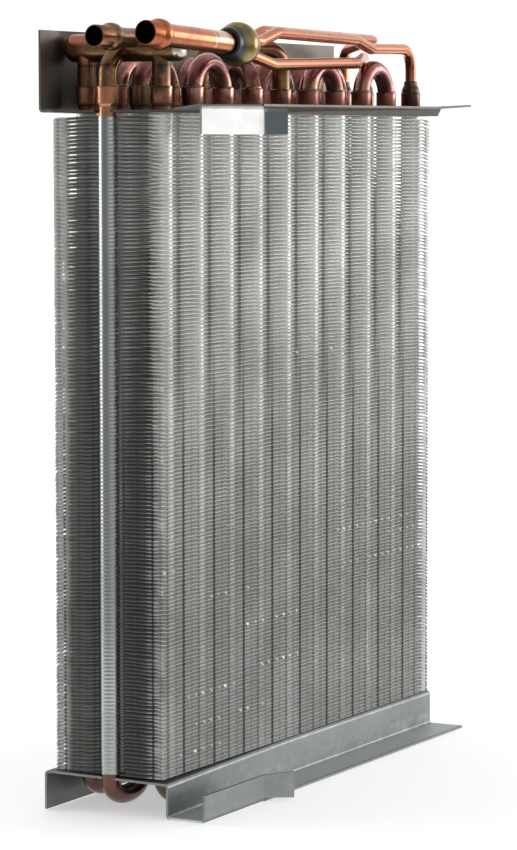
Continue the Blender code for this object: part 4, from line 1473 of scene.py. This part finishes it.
    def build_feeders(self) -> None:
        """Build the three feeder tubes and their reducers.

        A way has its name, row, port's angle, knees and crest. A knee has its X (0 stands
        for the first knee's), its Y and its rise over the bells' rims.
        """
        layout = self.layout
        rim, last = layout.rim, layout.per_row - 1
        outlet = self.liquid_length - self.distributor_sink + self.distributor_length
        knee_x = self.liquid_point(outlet).x + self.knee_run
        ways = (
            ("feeder_front", 0, 150.0, [(0.0, -13.5, 28.4), (215.7, 1.5, 28.2), (243.4, 5.6, 23.9)], 25.2),
            ("feeder_middle", 1, -90.0, [(0.0, -11.0, 12.0), (214.0, -0.6, 15.3)], 20.8),
            ("feeder_back", 2, 30.0, [(0.0, -5.4, 29.4), (268.0, 15.4, 29.4)], 25.0),
        )
        for name, row, port, knees, crest in ways:
            port_y = self.port_circle * math.cos(math.radians(port))
            port_z = self.port_circle * math.sin(math.radians(port))
            x, y = layout.x(row, last), layout.y(row)
            corners = [
                self.liquid_point(outlet - self.port_depth, port_y, port_z),
                self.liquid_point(outlet + self.port_run, port_y, port_z),
                *((knee or knee_x, across, rim + rise) for knee, across, rise in knees),
                (x, y, rim + crest),
                (x, y, rim + self.feeder_foot),
            ]
            first, second, middle, last_round = self.feeder_rounds
            path = MeshKit.bend(corners, (first, second, *(len(knees) - 1) * (middle,), last_round))
            stations = [(point, self.feeder_radius) for point in path]
            MeshKit.pipe(name, "pipe", stations, 24, self.finishes.bright, Slot.BRIGHT)
        cup = [(-1.0, 4.7), (0.05, 5.25), (0.6, 5.2), (2.0, 5.1), (3.2, 4.6), (4.4, 3.95)]
        neck = [(6.0, 3.9), (6.6, 3.75), (6.85, 3.4), (6.6, 3.1)]
        for row, name in enumerate(("inlet_reducer_front", "inlet_reducer_middle", "inlet_reducer_back")):
            stations = MeshKit.upright(layout.x(row, last), layout.y(row), cup + neck, base=rim)
            MeshKit.pipe(name, "body", stations, 28, self.finishes.dark, Slot.DARK)

    def build(self) -> None:
        """Build all the pipework."""
        self.build_header()
        self.build_branches()
        self.build_connections()
        self.build_distributor()
        self.build_feeders()
        log.info("pipework: header, connections, distributor and feeders")


@dataclass
class EndPlates:
    """The two folded end plates, whose solids keep their own shape."""

    finishes: Finishes
    nodes: tuple[str, ...] = ("lower_end_plate", "upper_end_plate")

    def build(self) -> None:
        """Give the plates their zinc finish."""
        for name in self.nodes:
            plate = frame["nodes"][name]
            for slot in plate.material_slots:
                slot.material = self.finishes.sheet
        log.info("end plates: %s", ", ".join(self.nodes))


@dataclass(frozen=True)
class Lamp:
    """One soft rectangular light, with places and sizes in metres and its power in watts."""

    name: str
    place: Point
    aim: Point
    size: tuple[float, float]
    power: float

    def build(self) -> None:
        """Hang the light, facing its aim."""
        data = bpy.data.lights.new(self.name, "AREA")
        data.shape = "RECTANGLE"
        data.size, data.size_y = self.size
        data.energy = self.power
        lamp = bpy.data.objects.new(self.name, data)
        bpy.context.scene.collection.objects.link(lamp)
        lamp.location = self.place
        lamp.rotation_euler = (Vector(self.aim) - Vector(self.place)).to_track_quat("-Z", "Y").to_euler()


@dataclass
class Studio:
    """Pale floor, soft lights and the camera at the photograph's angle."""

    camera_at: tuple[float, float, float] = (-1392.16, -815.64, 321.28)
    yaw: float = math.radians(61.3567)
    pitch: float = math.radians(4.99997)
    roll: float = math.radians(-0.0449)
    lens: float = 136.84
    sensor: float = 36.0
    clip: tuple[float, float] = (0.05, 200.0)
    floor_size: float = 60.0
    floor_gap: float = 0.0005
    floor_glow: float = 0.45
    far_glow: float = 0.9
    backdrop_level: float = 1.1
    room_level: float = 0.22
    front_level: float = 0.55
    front_way: Colour = (-0.25, -0.97, 0.0)
    front_edge: tuple[float, float] = (0.45, 0.95)
    backdrop_edge: tuple[float, float] = (-0.45, 0.0)
    backdrop_top: tuple[float, float] = (0.25, 0.8)
    ceiling_loss: float = 0.55
    lamps: tuple[Lamp, ...] = (
        Lamp("right_softbox", (1.75, -1.45, 0.55), (0.0, 0.0, 0.25), (1.7, 1.0), 18.0),
        Lamp("left_softbox", (-0.9, 1.9, 0.5), (0.0, 0.0, 0.2), (1.0, 1.4), 10.0),
    )

    def build_camera(self) -> None:
        """Place the camera."""
        data = bpy.data.cameras.new("photo_camera")
        data.lens = self.lens
        data.sensor_width = self.sensor
        data.clip_start, data.clip_end = self.clip
        camera = bpy.data.objects.new("photo_camera", data)
        bpy.context.scene.collection.objects.link(camera)
        sine, cosine, level = math.sin(self.yaw), math.cos(self.yaw), math.cos(self.pitch)
        forward = Vector((sine * level, cosine * level, -math.sin(self.pitch)))
        right = Vector((cosine, -sine, 0.0))
        up = right.cross(forward)
        turned_right = right * math.cos(self.roll) + up * math.sin(self.roll)
        turned_up = up * math.cos(self.roll) - right * math.sin(self.roll)
        turn = Matrix((turned_right, turned_up, -forward)).transposed().to_4x4()
        camera.matrix_world = Matrix.Translation(world(self.camera_at)) @ turn
        bpy.context.scene.camera = camera

    def build_floor(self) -> None:
        """Lay the floor under the coil."""
        half = 0.5 * self.floor_size
        mesh = bpy.data.meshes.new("floor")
        corners = [(-half, -half, 0.0), (half, -half, 0.0), (half, half, 0.0), (-half, half, 0.0)]
        mesh.from_pydata(corners, [], [(0, 1, 2, 3)])
        mesh.materials.append(PaperFinish(self.floor_glow, self.far_glow, self.yaw).build())
        floor = bpy.data.objects.new("floor", mesh)
        bpy.context.scene.collection.objects.link(floor)
        floor.location.z = -self.floor_gap

    def build_world(self) -> None:
        """Surround the coil with a white backdrop, grey overhead and dark on the pipes' side."""
        room = bpy.data.worlds.new("studio")
        room.use_nodes = True
        board = Board(room.node_tree)
        direction = board.add("ShaderNodeTexCoord", {}, {}, "Generated")
        ahead = (math.sin(self.yaw), math.cos(self.yaw), 0.0)
        facing, front = (
            board.add("ShaderNodeVectorMath", {"operation": "DOT_PRODUCT"}, {0: direction, 1: way}, "Value")
            for way in (ahead, self.front_way)
        )
        rise = board.add("ShaderNodeSeparateXYZ", {}, {"Vector": direction}, "Z")
        ceiling = rise.step(*self.backdrop_top) * self.ceiling_loss
        backdrop = facing.step(*self.backdrop_edge) * (1.0 - ceiling)
        strength = backdrop * (self.backdrop_level - self.room_level) + self.room_level
        strength = strength + front.step(*self.front_edge) * self.front_level
        background = room.node_tree.nodes["Background"]
        background.inputs["Color"].default_value = (1.0, 1.0, 1.0, 1.0)
        board.tree.links.new(strength.socket, background.inputs["Strength"])
        bpy.context.scene.world = room

    def build(self) -> None:
        """Set up the studio."""
        bpy.context.scene.view_settings.view_transform = "Standard"
        self.build_camera()
        self.build_floor()
        self.build_world()
        for lamp in self.lamps:
            lamp.build()
        log.info("studio ready")


def main() -> None:
    """Build every piece and the studio."""
    logging.basicConfig(level=logging.INFO, format="%(name)s: %(message)s")
    layout = TubeLayout()
    finishes = Finishes()
    Studio().build()
    FinStack(layout, finishes).build()
    Circuit(layout, finishes).build()
    Pipework(layout, finishes).build()
    EndPlates(finishes).build()


if __name__ == "__main__":
    main()
